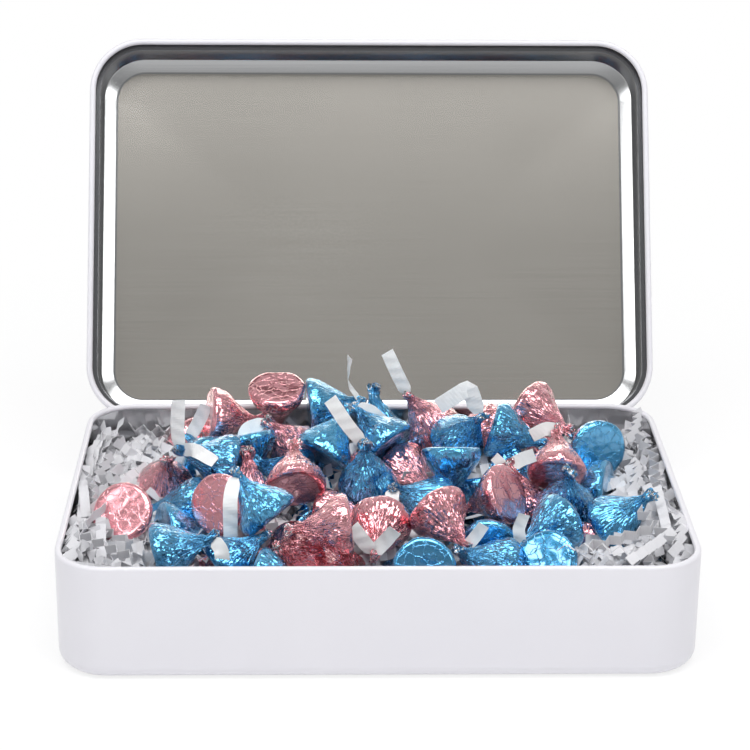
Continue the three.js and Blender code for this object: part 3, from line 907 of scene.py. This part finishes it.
@dataclass
class DropForm:
    """One foil-wrapped drop: a flat base, a round belly and a concave cone to a twisted tip."""

    base_flat: float = 18.6
    diameter: float = 22.6
    edge_height: float = 1.8
    belly_height: float = 6.8
    waist_diameter: float = 9.2
    waist_height: float = 11.2
    neck_diameter: float = 3.6
    neck_height: float = 18.4
    flare_diameter: float = 3.8
    flare_height: float = 23.1
    length: float = 23.5
    spacing: float = 0.72
    folds: int = 14
    pleats: int = 11

    def profile(self) -> Array:
        """Section of the drop from the middle of its base to the end of its tip.

        The base runs out to a quadratic edge, the side is a cubic curve, and the tip flares and closes on the axis.

        Returns:
            Rows of radius and height in millimetres, evenly spaced along the section.
        """
        t = np.linspace(0.0, 1.0, 40)[:, None]
        flat, belly = self.base_flat / 2.0, self.diameter / 2.0
        waist, neck = self.waist_diameter / 2.0, self.neck_diameter / 2.0
        base = np.array([[0.0, 0.35]]) * (1.0 - t) ** 2 + np.array([[flat, 0.0]]) * (1.0 - (1.0 - t) ** 2)
        edge_bend = np.array([[belly, 0.0]])
        edge = (1 - t) ** 2 * base[-1] + 2 * t * (1 - t) * edge_bend + t**2 * np.array([[belly, self.edge_height]])
        side = (
            (1 - t) ** 3 * edge[-1]
            + 3 * t * (1 - t) ** 2 * np.array([[belly, self.belly_height]])
            + 3 * t**2 * (1 - t) * np.array([[waist, self.waist_height]])
            + t**3 * np.array([[neck, self.neck_height]])
        )
        flare = np.array([[self.flare_diameter / 2.0, self.flare_height]])
        top = np.array([[0.0, self.length]])
        tip = np.concatenate([side[-1] * (1 - t) + flare * t, flare * (1 - t) + top * t])
        line = np.concatenate([base, edge[1:], side[1:], tip[1:]])
        run = np.concatenate([[0.0], np.cumsum(np.linalg.norm(np.diff(line, axis=0), axis=1))])
        even = np.linspace(0.0, run[-1], int(run[-1] / self.spacing))
        return np.stack([np.interp(even, run, line[:, 0]), np.interp(even, run, line[:, 1])], axis=-1)

    def crumple(self, points: Array, rng: np.random.Generator, shortest: float, longest: float) -> Array:
        """Crumpled relief, about -1 to 1.

        A sum of triangle waves along random directions: each wave folds the surface along parallel planes, so
        together they leave flat facets between straight creases, as crushed foil does.

        Args:
            points: where to find the relief, in millimetres.
            rng: source of the directions, lengths and phases.
            shortest: least wavelength in millimetres.
            longest: greatest wavelength in millimetres.

        Returns:
            One height for each point.
        """
        ways = rng.normal(size=(self.folds, 3))
        ways /= np.linalg.norm(ways, axis=1, keepdims=True)
        lengths = rng.uniform(shortest, longest, self.folds)
        turns = points @ (ways / lengths[:, None]).T + rng.uniform(0.0, 1.0, self.folds)
        return triangle_wave(turns) @ lengths / np.linalg.norm(lengths)

    def surface(self, rng: np.random.Generator) -> tuple[Array, Array, Array, Array]:
        """The creased skin of one drop, upright with its base at height zero.

        The profile is turned about the axis, pleated by a triangle wave in the angle that deepens and twists
        towards the tip, pressed flat and ragged at its end, pushed out along its normal by the crumpled relief,
        and leaned over at the top.

        Args:
            rng: source of this drop's creases.

        Returns:
            Points in millimetres, quads, how far along the drop each point lies, from zero to one, and its place
            on the unit circle and along the drop.
        """
        profile = self.profile()
        columns = int(math.pi * self.diameter / self.spacing)
        angle = np.arange(columns) * FULL_TURN / columns
        radius, height = profile[:, :1], profile[:, 1:]
        share = np.clip(height / self.length, 0.0, 1.0)
        slope = np.gradient(profile, axis=0)
        slope /= np.linalg.norm(slope, axis=1, keepdims=True)
        twist = rng.uniform(0.4, 1.0) * share**3
        pleat = triangle_wave(self.pleats * angle / FULL_TURN + twist * 2.0 + rng.uniform())
        gather = np.clip((share - 0.35) / 0.5, 0.0, 1.0) ** 1.5
        round_points = np.stack([radius * np.cos(angle), radius * np.sin(angle), height + 0.0 * angle], axis=-1)
        flat_points = round_points.reshape(-1, 3)
        coarse = self.crumple(flat_points, rng, 6.0, 13.0).reshape(round_points.shape[:2])
        fine = self.crumple(flat_points, rng, 2.4, 5.0).reshape(round_points.shape[:2])
        on_base = np.clip(1.0 - height / self.edge_height, 0.0, 1.0)
        push = (0.2 - 0.12 * on_base) * coarse + (0.1 + 0.14 * gather - 0.07 * on_base) * fine
        push += (0.08 + 0.2 * share**6) * np.minimum(radius, 5.0) * gather * pleat
        push *= np.clip(radius, 0.0, 1.0)
        outward = np.stack(
            [slope[:, 1:] * np.cos(angle), slope[:, 1:] * np.sin(angle), -slope[:, :1] + 0.0 * angle], axis=-1
        )
        tuft = np.clip((share - 0.74) / 0.16, 0.0, 1.0)
        flat = 1.0 + 0.5 * tuft * np.cos(2.0 * angle + twist * FULL_TURN + rng.uniform(0.0, FULL_TURN))
        round_points[..., :2] *= flat[..., None]
        ragged = 0.7 * np.cos(3.0 * angle + rng.uniform(0.0, FULL_TURN)) - 0.5
        round_points[..., 2] += share**12 * ragged * np.minimum(radius, 1.0)
        points = round_points + push[..., None] * outward
        lean, heading = rng.uniform(0.3, 1.6), rng.uniform(0.0, FULL_TURN)
        points[..., 0] += lean * share**4 * math.cos(heading)
        points[..., 1] += lean * share**4 * math.sin(heading)
        along = np.broadcast_to(share, points.shape[:2])
        own = rng.uniform(0.0, 50.0)
        around = np.stack([np.cos(angle) + 0.0 * along, np.sin(angle) + 0.0 * along, 0.5 * along + own], axis=-1)
        quads = grid_quads(len(profile), columns, True)
        return points.reshape(-1, 3), quads, along.reshape(-1), around.reshape(-1, 3)


def frame_along(axis: Array) -> Array:
    """Rotation whose third column is a given axis.

    Args:
        axis: unit vector of the drop's axis, from base to tip.

    Returns:
        A matrix that turns upright points to lie along the axis.
    """
    helper = np.array([1.0, 0.0, 0.0]) if abs(axis[0]) < 0.8 else np.array([0.0, 1.0, 0.0])
    side = np.cross(helper, axis)
    side /= np.linalg.norm(side)
    return np.stack([side, np.cross(axis, side), axis], axis=1)


@dataclass
class LaidDrop:
    """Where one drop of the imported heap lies, in millimetres."""

    node: str
    base: Array
    axis: Array
    length: float

    @classmethod
    def from_node(cls, node: str, form: DropForm) -> "LaidDrop":
        """Find a drop's axis from its solid.

        The rings are even, so the mean of the corners lies on the axis, and a drop is longer than it is wide, so its
        corners spread most along the axis. The tip is the end where the corners lie closer to the axis.

        Args:
            node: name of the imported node.
            form: the shape that the drops share.

        Returns:
            The drop's place and direction.
        """
        mesh = frame["nodes"][node].data
        corners = np.empty(len(mesh.vertices) * 3, np.float32)
        mesh.vertices.foreach_get("co", corners)
        corners = np.unique(np.round(corners.reshape(-1, 3) / MM, 3), axis=0).astype(float)
        middle = corners.mean(axis=0)
        axis = np.linalg.eigh(np.cov((corners - middle).T))[1][:, -1]
        height = (corners - middle) @ axis
        spread = np.linalg.norm(corners - middle - np.outer(height, axis), axis=1)
        axis = axis if height @ spread < 0.0 else -axis
        tip = middle + axis * np.max((corners - middle) @ axis)
        return cls(node, tip - axis * form.length, axis, form.length)

    @property
    def tip(self) -> Array:
        """End of the twisted tip."""
        return self.base + self.axis * self.length

    def balls(self) -> Array:
        """Four balls that fill the drop: rows of x, y, z and radius."""
        share = np.array([[0.24], [0.42], [0.62], [0.85]])
        radius = np.array([[8.6], [7.6], [4.6], [2.0]])
        return np.hstack([self.base + share * self.length * self.axis, radius])


@dataclass
class Heap:
    """The heap of drops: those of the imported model, and the lower layer that shows between them."""

    lid: Lid
    form: DropForm = field(default_factory=DropForm)
    lower: DropForm = field(default_factory=lambda: DropForm(spacing=1.0))
    seed: int = 20
    lower_tries: int = 20000
    lower_most: int = 64
    lower_overlap: float = 1.0
    lower_half_width: float = 76.0
    lower_half_depth: float = 60.0
    lid_gap: float = 0.4
    lower_low: float = 13.0
    lower_high_front: float = 23.0
    lower_high_back: float = 40.0
    drops: dict[str, LaidDrop] = field(init=False)

    def __post_init__(self) -> None:
        """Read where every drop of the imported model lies."""
        names = sorted(name for name in frame["nodes"] if "_drop_" in name)
        self.drops = {name: LaidDrop.from_node(name, self.form) for name in names}

    def build(self, foils: dict[Slot, bpy.types.Material]) -> None:
        """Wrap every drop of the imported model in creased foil, pressed down where the closed lid comes close.

        Args:
            foils: the material of each foil slot.
        """
        for number, (name, drop) in enumerate(self.drops.items()):
            rng = np.random.default_rng(self.seed + number)
            skin, quads, along, around = self.form.surface(rng)
            points = skin @ frame_along(drop.axis).T + drop.base
            room = self.lid.room_above(points[:, 0], points[:, 1]) - self.lid_gap
            points[:, 2] = np.minimum(points[:, 2], room)
            piece = build_mesh(f"{name}_foil", points * MM, quads)
            set_point_values(piece, "along", along)
            set_point_values(piece, "around", around)
            set_point_values(piece, "skin", skin * MM)
            set_point_values(piece, "tint", np.full(len(points), rng.uniform()))
            weld(piece)
            slot = Slot.BLUE if name.startswith("blue") else Slot.ROSE
            dress(piece, [foils[slot]])
            place_on(piece, Body.TIN, slot, name)

    def lower_places(self, rng: np.random.Generator) -> list[LaidDrop]:
        """Find room under and between the laid drops, lower towards the front as the heap falls.

        Random places are tried in turn, and one is kept if its balls overlap no kept ball by more than the limit.

        Args:
            rng: source of the places.

        Returns:
            The drops of the lower layer.
        """
        kept_balls = np.concatenate([drop.balls() for drop in self.drops.values()])
        kept: list[LaidDrop] = []
        reach = np.array([self.lower_half_width, self.lower_half_depth])
        for _ in range(self.lower_tries):
            axis = rng.normal(size=3)
            axis /= np.linalg.norm(axis)
            plan = rng.uniform(-reach, reach)
            high = np.interp(plan[1] / reach[1], (-1.0, 1.0), (self.lower_high_front, self.lower_high_back))
            middle = np.array([*plan, rng.uniform(self.lower_low, high)])
            drop = LaidDrop("", middle - axis * self.form.length * 0.4, axis, self.form.length)
            balls = drop.balls()
            apart = np.linalg.norm(balls[:, None, :3] - kept_balls[None, :, :3], axis=2)
            room = apart - balls[:, None, 3] - kept_balls[None, :, 3]
            if room.min() < -self.lower_overlap or (balls[:, 2] - balls[:, 3]).min() < 2.0:
                continue
            kept.append(drop)
            kept_balls = np.concatenate([kept_balls, balls])
            if len(kept) >= self.lower_most:
                break
        return kept

    def build_lower(self, foils: dict[Slot, bpy.types.Material]) -> None:
        """Make the lower layer as one piece for each colour.

        Args:
            foils: the material of each foil slot.
        """
        rng = np.random.default_rng(self.seed)
        places = self.lower_places(rng)
        for slot, chosen in ((Slot.BLUE, places[0::2]), (Slot.ROSE, places[1::2])):
            points, quads, along, around, skins, tint = [], [], [], [], [], []
            start = 0
            for drop in chosen:
                skin, faces, share, circle = self.lower.surface(rng)
                points.append(skin @ frame_along(drop.axis).T + drop.base)
                skins.append(skin * MM)
                quads.append(faces + start)
                along.append(share)
                around.append(circle)
                tint.append(np.full(len(skin), rng.uniform()))
                start += len(skin)
            piece = build_mesh(f"lower_{slot.value}_drops", np.concatenate(points) * MM, np.concatenate(quads))
            set_point_values(piece, "along", np.concatenate(along))
            set_point_values(piece, "around", np.concatenate(around))
            set_point_values(piece, "skin", np.concatenate(skins))
            set_point_values(piece, "tint", np.concatenate(tint))
            weld(piece)
            dress(piece, [foils[slot]])
            place_on(piece, Body.TIN, slot)


@dataclass
class Crinkle:
    """The crinkle-cut paper: strips folded like a concertina, banked at both ends and strewn under the heap."""

    tin: TinBody
    banked: int = 240
    strewn: int = 640
    folds: int = 9
    length: float = 28.0
    strip_width: float = 3.6
    facet_least: float = 3.8
    facet_most: float = 5.2
    straight: float = 0.08
    thickness: float = 0.16
    bank_below_rim: float = 5.5
    bank_side: float = 12.0
    bank_slope: float = 18.0
    nest_front_below_rim: float = 17.0
    nest_back_below_rim: float = 5.0
    end_gap: float = 2.5
    bank: float = 30.0
    pile_height: float = 7.0
    fall_height: float = 8.0
    steepest: float = 0.15
    steps: tuple[float, ...] = (0.7549, 0.5698, 0.618, 0.4142, 0.3028)
    walled: int = 44
    laid: tuple[tuple[float, ...], ...] = (
        (103.0, -30.0, 43.0, 88.0, 2.0, 0.2),
        (-104.0, -46.0, 43.0, 84.0, 0.0, 0.2),
        (107.0, 54.0, 43.0, 76.0, 0.0, 1.0),
        (86.0, -52.0, 44.0, 24.0, 6.0, 1.0),
        (76.0, -60.0, 43.0, -14.0, 3.0, 1.0),
        (94.0, -60.0, 43.0, 52.0, 0.0, 1.0),
        (99.0, -44.0, 44.0, 112.0, 4.0, 1.0),
        (-95.0, -58.0, 43.0, 140.0, 3.0, 1.0),
        (-103.0, -10.0, 42.0, 100.0, 0.0, 1.0),
    )
    wall_gap: float = 1.2
    top_above_rim: float = 3.0
    floor_gap: float = 1.0
    seed: int = 7

    def paper_height(self, x: Array, y: Array) -> Array:
        """Height of the loose paper: banked up at both ends, and a nest between that rises to the back.

        Args:
            x: positions along the width in millimetres.
            y: positions along the depth in millimetres.

        Returns:
            Heights in millimetres.
        """
        nest = np.interp(y / self.tin.plan.depth, (-0.5, 0.5), (self.nest_front_below_rim, self.nest_back_below_rim))
        share = np.clip((self.tin.plan.width / 2.0 - self.bank_side - np.abs(x)) / self.bank_slope, 0.0, 1.0)
        share = share * share * (3.0 - 2.0 * share)
        return self.tin.height - self.bank_below_rim - (nest - self.bank_below_rim) * share

    def banked_places(self) -> Array:
        """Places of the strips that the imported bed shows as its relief.

        Each step, taken over and over and kept below one, spreads one property evenly: distance from the end wall,
        place along the wall, heading, layer and slope.

        Returns:
            Rows of x, y, z in millimetres, heading and tilt in radians, and a fold share of one.
        """
        number = np.arange(self.banked)
        inward, back, turn, layer, slope = [number * step % 1.0 for step in self.steps]
        heading = turn * math.pi
        room_x = self.tin.plan.width / 2.0 - self.end_gap - np.abs(np.cos(heading)) * self.length / 2.0
        room_y = self.tin.plan.depth / 2.0 - self.end_gap - np.sin(heading) * self.length / 2.0
        x = (room_x - inward * self.bank) * np.where(number % 2 == 1, 1.0, -1.0)
        y = room_y * (2.0 * back - 1.0)
        z = self.paper_height(x, y) - layer * self.pile_height - self.fall_height * y / self.tin.plan.depth
        return np.stack([x, y, z, heading, np.arctan(self.steepest * (2.0 * slope - 1.0)), 0.0 * x + 1.0], axis=-1)

    def walled_places(self, rng: np.random.Generator) -> Array:
        """Places of the strips that stand along both end walls, where they hide the bare tinplate.

        Args:
            rng: source of the places.

        Returns:
            Rows of x, y, z in millimetres, heading and tilt in radians, and how much of the fold each keeps.
        """
        side = np.where(np.arange(self.walled) % 2 == 1, 1.0, -1.0)
        x = side * (self.tin.plan.width / 2.0 - rng.uniform(2.5, 6.0, self.walled))
        y = rng.uniform(-1.0, 1.0, self.walled) * (self.tin.plan.depth / 2.0 - self.tin.corner_radius)
        z = self.tin.height - rng.uniform(3.0, 10.0, self.walled) - self.fall_height * y / self.tin.plan.depth
        heading = QUARTER_TURN + rng.normal(0.0, 0.14, self.walled)
        keep = np.where(rng.uniform(size=self.walled) < 0.25, 0.2, 1.0)
        return np.stack([x, y, z, heading, rng.normal(0.0, 0.08, self.walled), keep], axis=-1)

    def strewn_places(self, rng: np.random.Generator) -> Array:
        """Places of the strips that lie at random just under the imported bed's top.

        Args:
            rng: source of the places.

        Returns:
            Rows of x, y, z in millimetres, heading and tilt in radians, and how much of the fold each keeps.
        """
        mesh = frame["nodes"]["crinkle_paper_bed"].data
        corners = np.empty(len(mesh.vertices) * 3, np.float32)
        mesh.vertices.foreach_get("co", corners)
        corners = corners.reshape(-1, 3) / MM
        top = corners[corners[:, 2] > self.tin.bottom_radius + 1.0]
        chosen = top[rng.integers(0, len(top), self.strewn)]
        under = rng.uniform(0.5, 6.0, self.strewn)
        heading = rng.uniform(0.0, math.pi, self.strewn)
        tilt = rng.normal(0.0, 0.2, self.strewn)
        keep = np.where(rng.uniform(size=self.strewn) < self.straight, 0.2, 1.0)
        return np.stack([chosen[:, 0], chosen[:, 1], chosen[:, 2] - under, heading, tilt, keep], axis=-1)

    def build(self, paper: bpy.types.Material) -> None:
        """Fold, turn and strew the strips.

        A strip runs along t and folds to and fro along n, so its fold points are c + i t + (-1)^i n, and its edges
        lie half its width to either side along b. Strips that reach past the wall are moved back inside.

        Args:
            paper: finish of the strips.
        """
        rng = np.random.default_rng(self.seed)
        laid = np.array(self.laid)
        laid[:, 3:5] = np.radians(laid[:, 3:5])
        places = np.concatenate([self.banked_places(), self.strewn_places(rng), self.walled_places(rng), laid])
        count = len(places)
        index = np.arange(self.folds + 1)
        facet = rng.uniform(self.facet_least, self.facet_most, (count, 1))
        fold = np.arccos(np.minimum(self.length / (self.folds * facet), 0.95))
        fold *= places[:, 5:]
        along = (index - self.folds / 2.0) * facet * np.cos(fold)
        across = (index % 2 - 0.5) * facet * np.sin(fold) + rng.normal(0.0, 0.2, (count, len(index)))
        across += rng.uniform(-0.01, 0.01, (count, 1)) * along**2
        heading, tilt = places[:, 3], places[:, 4]
        roll = rng.uniform(0.0, math.pi, count)
        way = np.stack([np.cos(heading) * np.cos(tilt), np.sin(heading) * np.cos(tilt), np.sin(tilt)], axis=-1)
        level = np.stack([-np.sin(heading), np.cos(heading), 0.0 * heading], axis=-1)
        upright = np.cross(way, level)
        normal = level * np.cos(roll)[:, None] + upright * np.sin(roll)[:, None]
        side = np.cross(way, normal)
        path = places[:, None, :3] + along[..., None] * way[:, None, :] + across[..., None] * normal[:, None, :]
        half = self.strip_width / 2.0 * side[:, None, None, :] * np.array([-1.0, 1.0])[None, None, :, None]
        points = self.keep_inside(path[:, :, None, :] + half)
        corner = np.arange(count)[:, None, None] * 2 * len(index)
        quads = grid_quads(len(index), 2, False)[None] + corner
        piece = build_mesh("crinkle_strips", points.reshape(-1, 3) * MM, quads.reshape(-1, 4), smooth=False)
        wall = piece.modifiers.new("sheet", "SOLIDIFY")
        wall.thickness = self.thickness * MM
        wall.offset = 0.0
        dress(piece, [paper])
        place_on(piece, Body.TIN, Slot.PAPER, "crinkle_paper_bed")

    def keep_inside(self, points: Array) -> Array:
        """Move strips that pass the wall, the floor or the top back inside, each as a whole.

        Args:
            points: corners of the strips in millimetres, strip by strip.

        Returns:
            The moved corners.
        """
        for _ in range(3):
            distance, out_x, out_y = self.tin.plan.outside(points[..., 0], points[..., 1], self.wall_gap)
            flat = distance.reshape(len(points), -1)
            worst = np.argmax(flat, axis=1)[:, None]
            depth = np.maximum(np.take_along_axis(flat, worst, 1), 0.0)
            move_x = depth * np.take_along_axis(out_x.reshape(len(points), -1), worst, 1)
            move_y = depth * np.take_along_axis(out_y.reshape(len(points), -1), worst, 1)
            points = points - np.stack([move_x, move_y, 0.0 * move_x], axis=-1)[:, None]
        low = points[..., 2].min(axis=(1, 2)) - self.floor_gap
        high = points[..., 2].max(axis=(1, 2)) - self.tin.height - self.top_above_rim
        lift = np.maximum(-low, 0.0) - np.maximum(high, 0.0)
        points[..., 2] += lift[:, None, None]
        return points


@dataclass(frozen=True)
class Flag:
    """A bare paper flag twisted into a drop's tip: its way out before and after its fold, its face and its root."""

    drop: str
    length: float
    rise: tuple[float, float]
    heading: tuple[float, float]
    face: float = -90.0
    width: float = 5.2
    root: float = 2.5
    fold: tuple[float, float] = (0.3, 0.6)


@dataclass
class Flags:
    """The paper flags that stand or lie on the heap."""

    heap: Heap
    lid_inside: float = 57.0
    steps: int = 24
    across: int = 4
    thickness: float = 0.09
    twist: float = 36.0
    crease_length: float = 5.0
    crease_height: float = 0.12
    flags: tuple[Flag, ...] = (
        Flag("blue_drop_19", 20.0, (86.0, 94.0), (180.0, 180.0)),
        Flag("blue_drop_19", 17.0, (14.0, -22.0), (-38.0, -25.0), -60.0),
        Flag("blue_drop_12", 16.0, (58.0, 66.0), (8.0, 0.0)),
        Flag("rose_drop_12", 23.0, (-8.0, -92.0), (205.0, 250.0)),
        Flag("blue_drop_22", 22.0, (52.0, 58.0), (180.0, 178.0)),
        Flag("blue_drop_24", 12.0, (-5.0, -45.0), (-12.0, 0.0)),
        Flag("blue_drop_27", 20.0, (55.0, 95.0), (172.0, 170.0), 0.0),
        Flag("rose_drop_20", 20.0, (64.0, 66.0), (182.0, 180.0)),
        Flag("blue_drop_25", 26.0, (70.0, -34.0), (184.0, 180.0), width=6.4, fold=(0.44, 0.5)),
        Flag("rose_drop_18", 11.0, (12.0, -28.0), (195.0, 185.0)),
        Flag("rose_drop_10", 9.5, (34.0, 20.0), (0.0, 0.0)),
        Flag("rose_drop_10", 11.0, (44.0, 46.0), (188.0, 185.0), width=3.8, root=6.5),
        Flag("blue_drop_14", 12.0, (-25.0, -80.0), (262.0, 282.0)),
        Flag("blue_drop_20", 25.0, (-40.0, -88.0), (258.0, 275.0)),
        Flag("blue_drop_10", 12.0, (-30.0, -82.0), (-50.0, -60.0)),
        Flag("rose_drop_06", 13.0, (53.0, 56.0), (180.0, 185.0)),
        Flag("rose_drop_06", 12.0, (47.0, 52.0), (0.0, -5.0)),
        Flag("rose_drop_09", 10.5, (52.0, 56.0), (0.0, 5.0), width=4.4),
        Flag("blue_drop_11", 11.5, (82.0, 70.0), (185.0, 10.0), width=4.4),
    )

    def surface(self, flag: Flag, root: Array) -> Array:
        """A curved ribbon.

        The ribbon keeps its first rise and heading up to its fold and its last ones after it, and its points are the
        running sum of that direction. Its width lies across the direction and the way that its face looks, which
        turns slightly along it, and a triangle wave creases it slantwise.

        Args:
            flag: the flag to shape.
            root: where it leaves the drop's tip, in millimetres.

        Returns:
            Grid of points in millimetres, along by across.
        """
        share = np.linspace(0.0, 1.0, self.steps)
        rise = np.radians(np.interp(share, flag.fold, flag.rise))
        heading = np.radians(np.interp(share, flag.fold, flag.heading))
        way = np.stack([np.cos(rise) * np.cos(heading), np.cos(rise) * np.sin(heading), np.sin(rise)], axis=-1)
        path = root + np.cumsum(way, axis=0) * flag.length / self.steps
        face = np.radians(flag.face + self.twist * (share - 0.5))
        look = np.stack([np.cos(face), np.sin(face), 0.0 * face + 0.25], axis=-1)
        side = np.cross(way, look)
        side /= np.linalg.norm(side, axis=1, keepdims=True)
        out = np.cross(side, way)
        pinch = np.clip(0.55 + share / 0.25, 0.55, 1.0)[:, None, None]
        offset = np.linspace(-0.5, 0.5, self.across)[None, :, None] * flag.width * pinch
        turns = share[:, None, None] * flag.length / self.crease_length + 0.1 * offset
        crease = self.crease_height * triangle_wave(turns)
        return path[:, None, :] + offset * side[:, None, :] + crease * out[:, None, :]

    def build(self, paper: bpy.types.Material) -> None:
        """Root each flag in its drop's tip, and give the ones that reach above the closed lid's inside a mesh of their
        own.

        Args:
            paper: finish of the flags.
        """
        for number, flag in enumerate(self.flags, start=1):
            drop = self.heap.drops[flag.drop]
            root = drop.tip - drop.axis * flag.root
            points = self.surface(flag, root)
            piece = build_mesh(
                f"paper_flag_{number:02d}", points.reshape(-1, 3) * MM, grid_quads(self.steps, self.across, False), False
            )
            sheet = piece.modifiers.new("sheet", "SOLIDIFY")
            sheet.thickness = self.thickness * MM
            sheet.offset = 0.0
            dress(piece, [paper])
            place_on(piece, Body.TIN, Slot.PAPER)
            top, foot = points[..., 2].max(), points[..., 2].min()
            if top > self.lid_inside:
                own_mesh(piece)


@dataclass
class Hinges:
    """The two strip hinges at the back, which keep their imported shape."""

    prefix: str = "hinge_"

    def dress(self, steel: bpy.types.Material) -> None:
        """Give every hinge node its steel."""
        for name, piece in frame["nodes"].items():
            if name.startswith(self.prefix):
                dress(piece, [steel])
                log.info("%s keeps its packed shape", name)


@dataclass
class Lamp:
    """One soft box: where it hangs, what it looks at, its size and its brightness."""

    name: str
    place: tuple[float, float, float]
    width: float
    height: float
    radiance: float

    def build(self, aim: Array) -> None:
        """Hang the lamp so that a white card facing it closely would shine at its radiance.

        Args:
            aim: the point that it looks at, in metres.
        """
        light = bpy.data.lights.new(self.name, "AREA")
        light.shape = "RECTANGLE"
        light.size, light.size_y = self.width, self.height
        light.energy = self.radiance * math.pi * self.width * self.height
        lamp = bpy.data.objects.new(self.name, light)
        bpy.context.scene.collection.objects.link(lamp)
        turn = Vector(np.array(self.place) - aim).to_track_quat("Z", "Y")
        lamp.matrix_world = Matrix.LocRotScale(Vector(self.place), turn, None)
        lamp.visible_camera = False


@dataclass
class Studio:
    """The photograph's camera, a white sweep, soft boxes and an even surround."""

    aim: tuple[float, float, float] = (-0.00042, 0.0, 0.08409)
    pitch: float = 21.01
    yaw: float = 1.45
    roll: float = 0.5
    distance: float = 0.81211
    lens: float = 106.67
    sensor: float = 36.0
    floor_half: float = 4.0
    horizon: float = 0.68
    surround: float = 0.3
    ceiling: float = 0.2
    lamps: tuple[Lamp, ...] = (
        Lamp("softbox_left", (-0.76, -0.7, 0.78), 0.24, 0.32, 5.7),
        Lamp("softbox_right", (0.76, -0.7, 0.78), 0.24, 0.32, 5.7),
        Lamp("softbox_top", (0.0, -0.4, 1.28), 1.25, 0.6, 6.5),
    )

    def build(self) -> None:
        """Set up the stage."""
        self.camera()
        self.floor()
        self.world()
        for lamp in self.lamps:
            lamp.build(np.array(self.aim))
        bpy.context.scene.view_settings.view_transform = "Standard"

    def camera(self) -> None:
        """Stand the camera back from its aim along its line of sight.

        The line of sight is turned by the yaw from +Y and tipped down by the pitch, and the camera is rolled about it.
        """
        tip, turn, roll = np.radians([self.pitch, self.yaw, self.roll])
        sight = np.array([math.sin(turn) * math.cos(tip), math.cos(turn) * math.cos(tip), -math.sin(tip)])
        level = np.array([math.cos(turn), -math.sin(turn), 0.0])
        upright = np.cross(level, sight)
        right = math.cos(roll) * level + math.sin(roll) * upright
        up = math.cos(roll) * upright - math.sin(roll) * level
        data = bpy.data.cameras.new("photo_camera")
        data.lens, data.sensor_width = self.lens, self.sensor
        data.clip_start, data.clip_end = 0.01, 50.0
        camera = bpy.data.objects.new("photo_camera", data)
        bpy.context.scene.collection.objects.link(camera)
        turned = Matrix(np.stack([right, up, -sight], axis=1)).to_4x4()
        camera.matrix_world = Matrix.Translation(np.array(self.aim) - sight * self.distance) @ turned
        bpy.context.scene.camera = camera

    def floor(self) -> None:
        """Lay the sweep level with the tin's underside."""
        half = self.floor_half
        x, y = np.meshgrid(np.linspace(-half, half, 3), np.linspace(-half, half, 3), indexing="xy")
        points = np.stack([x, y, 0.0 * x], axis=-1).reshape(-1, 3)
        sweep = build_mesh("sweep", points, grid_quads(3, 3, False))
        dress(sweep, [Sweep().material()])

    def world(self) -> None:
        """Surround the stage: a white backdrop and horizon, a grey room in front and a dim ceiling."""
        world = bpy.data.worlds.new("studio")
        world.use_nodes = True
        bpy.context.scene.world = world
        tree = world.node_tree
        tree.nodes.clear()
        place = add_node(tree, "TexCoord")
        split = add_node(tree, "SeparateXYZ", {"Vector": place.outputs["Generated"]})
        low = add_node(
            tree,
            "MapRange",
            {"Value": split.outputs["Z"], "From Max": 0.4, "To Min": self.horizon, "To Max": self.surround},
        )
        high = add_node(
            tree,
            "MapRange",
            {"Value": split.outputs["Z"], "From Min": 0.66, "From Max": 0.85, "To Min": 1.0, "To Max": self.ceiling},
        )
        front = add_node(tree, "Math", {0: low.outputs["Result"], 1: high.outputs["Result"]}, operation="MINIMUM")
        behind = add_node(tree, "MapRange", {"Value": split.outputs["Y"], "From Min": -0.1, "From Max": 0.6})
        studio = add_node(
            tree,
            "Mix",
            {0: behind.outputs["Result"], 2: front.outputs["Value"], 3: self.horizon},
            data_type="FLOAT",
        )
        light = add_node(
            tree, "Background", {"Color": (1.0, 1.0, 1.0, 1.0), "Strength": studio.outputs[0]}
        )
        out = add_node(tree, "OutputWorld")
        tree.links.new(light.outputs["Background"], out.inputs["Surface"])


def main() -> None:
    """Build every sub-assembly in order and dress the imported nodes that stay."""
    logging.basicConfig(level=logging.INFO, format="%(name)s: %(message)s")
    Studio().build()
    lacquer = WhiteLacquer().material()
    bright = Tinplate("bright_tinplate", "#b9babb", "#acadae", 0.2).material()
    # A darker copy of the lid's tinplate for its walls: painted shade, as the sheet itself is the same as the
    # shoulder's.
    drawn = Tinplate("wall_shade_tinplate", "#8c8d90", "#7b7c7f", 0.22).material()
    brushed = Tinplate("brushed_tinplate", "#d5d1ca", "#c9c5be", 0.23).material()
    smooth = Tinplate("smooth_tinplate", "#e4e4e5", "#dadadc", 0.2).material()
    steel = Tinplate("bright_steel_strip", "#b9bbbf", "#a4a6aa", 0.28).material()
    foils = {
        Slot.BLUE: Foil("blue_lacquered_foil", "#3db0e4", "#2f9ed6").material(),
        Slot.ROSE: Foil("rose_lacquered_foil", "#f5a7b0", "#e997a2").material(),
    }
    crinkle_paper = Paper("bleached_crinkle_paper", "#e6e6e9", "#dcdce0", glow=0.08).material()
    flag_paper = Paper("bleached_tissue_paper", "#fbfcfc", "#f3f6f6", glow=0.15).material()
    tin = TinBody()
    tin.build(lacquer, smooth)
    lid = Lid(tin)
    lid.build(lacquer, [brushed, bright, drawn], frame["joints"][0])
    Hinges().dress(steel)
    heap = Heap(lid)
    heap.build(foils)
    heap.build_lower(foils)
    Crinkle(tin).build(crinkle_paper)
    Flags(heap).build(flag_paper)


if __name__ == "__main__":
    main()
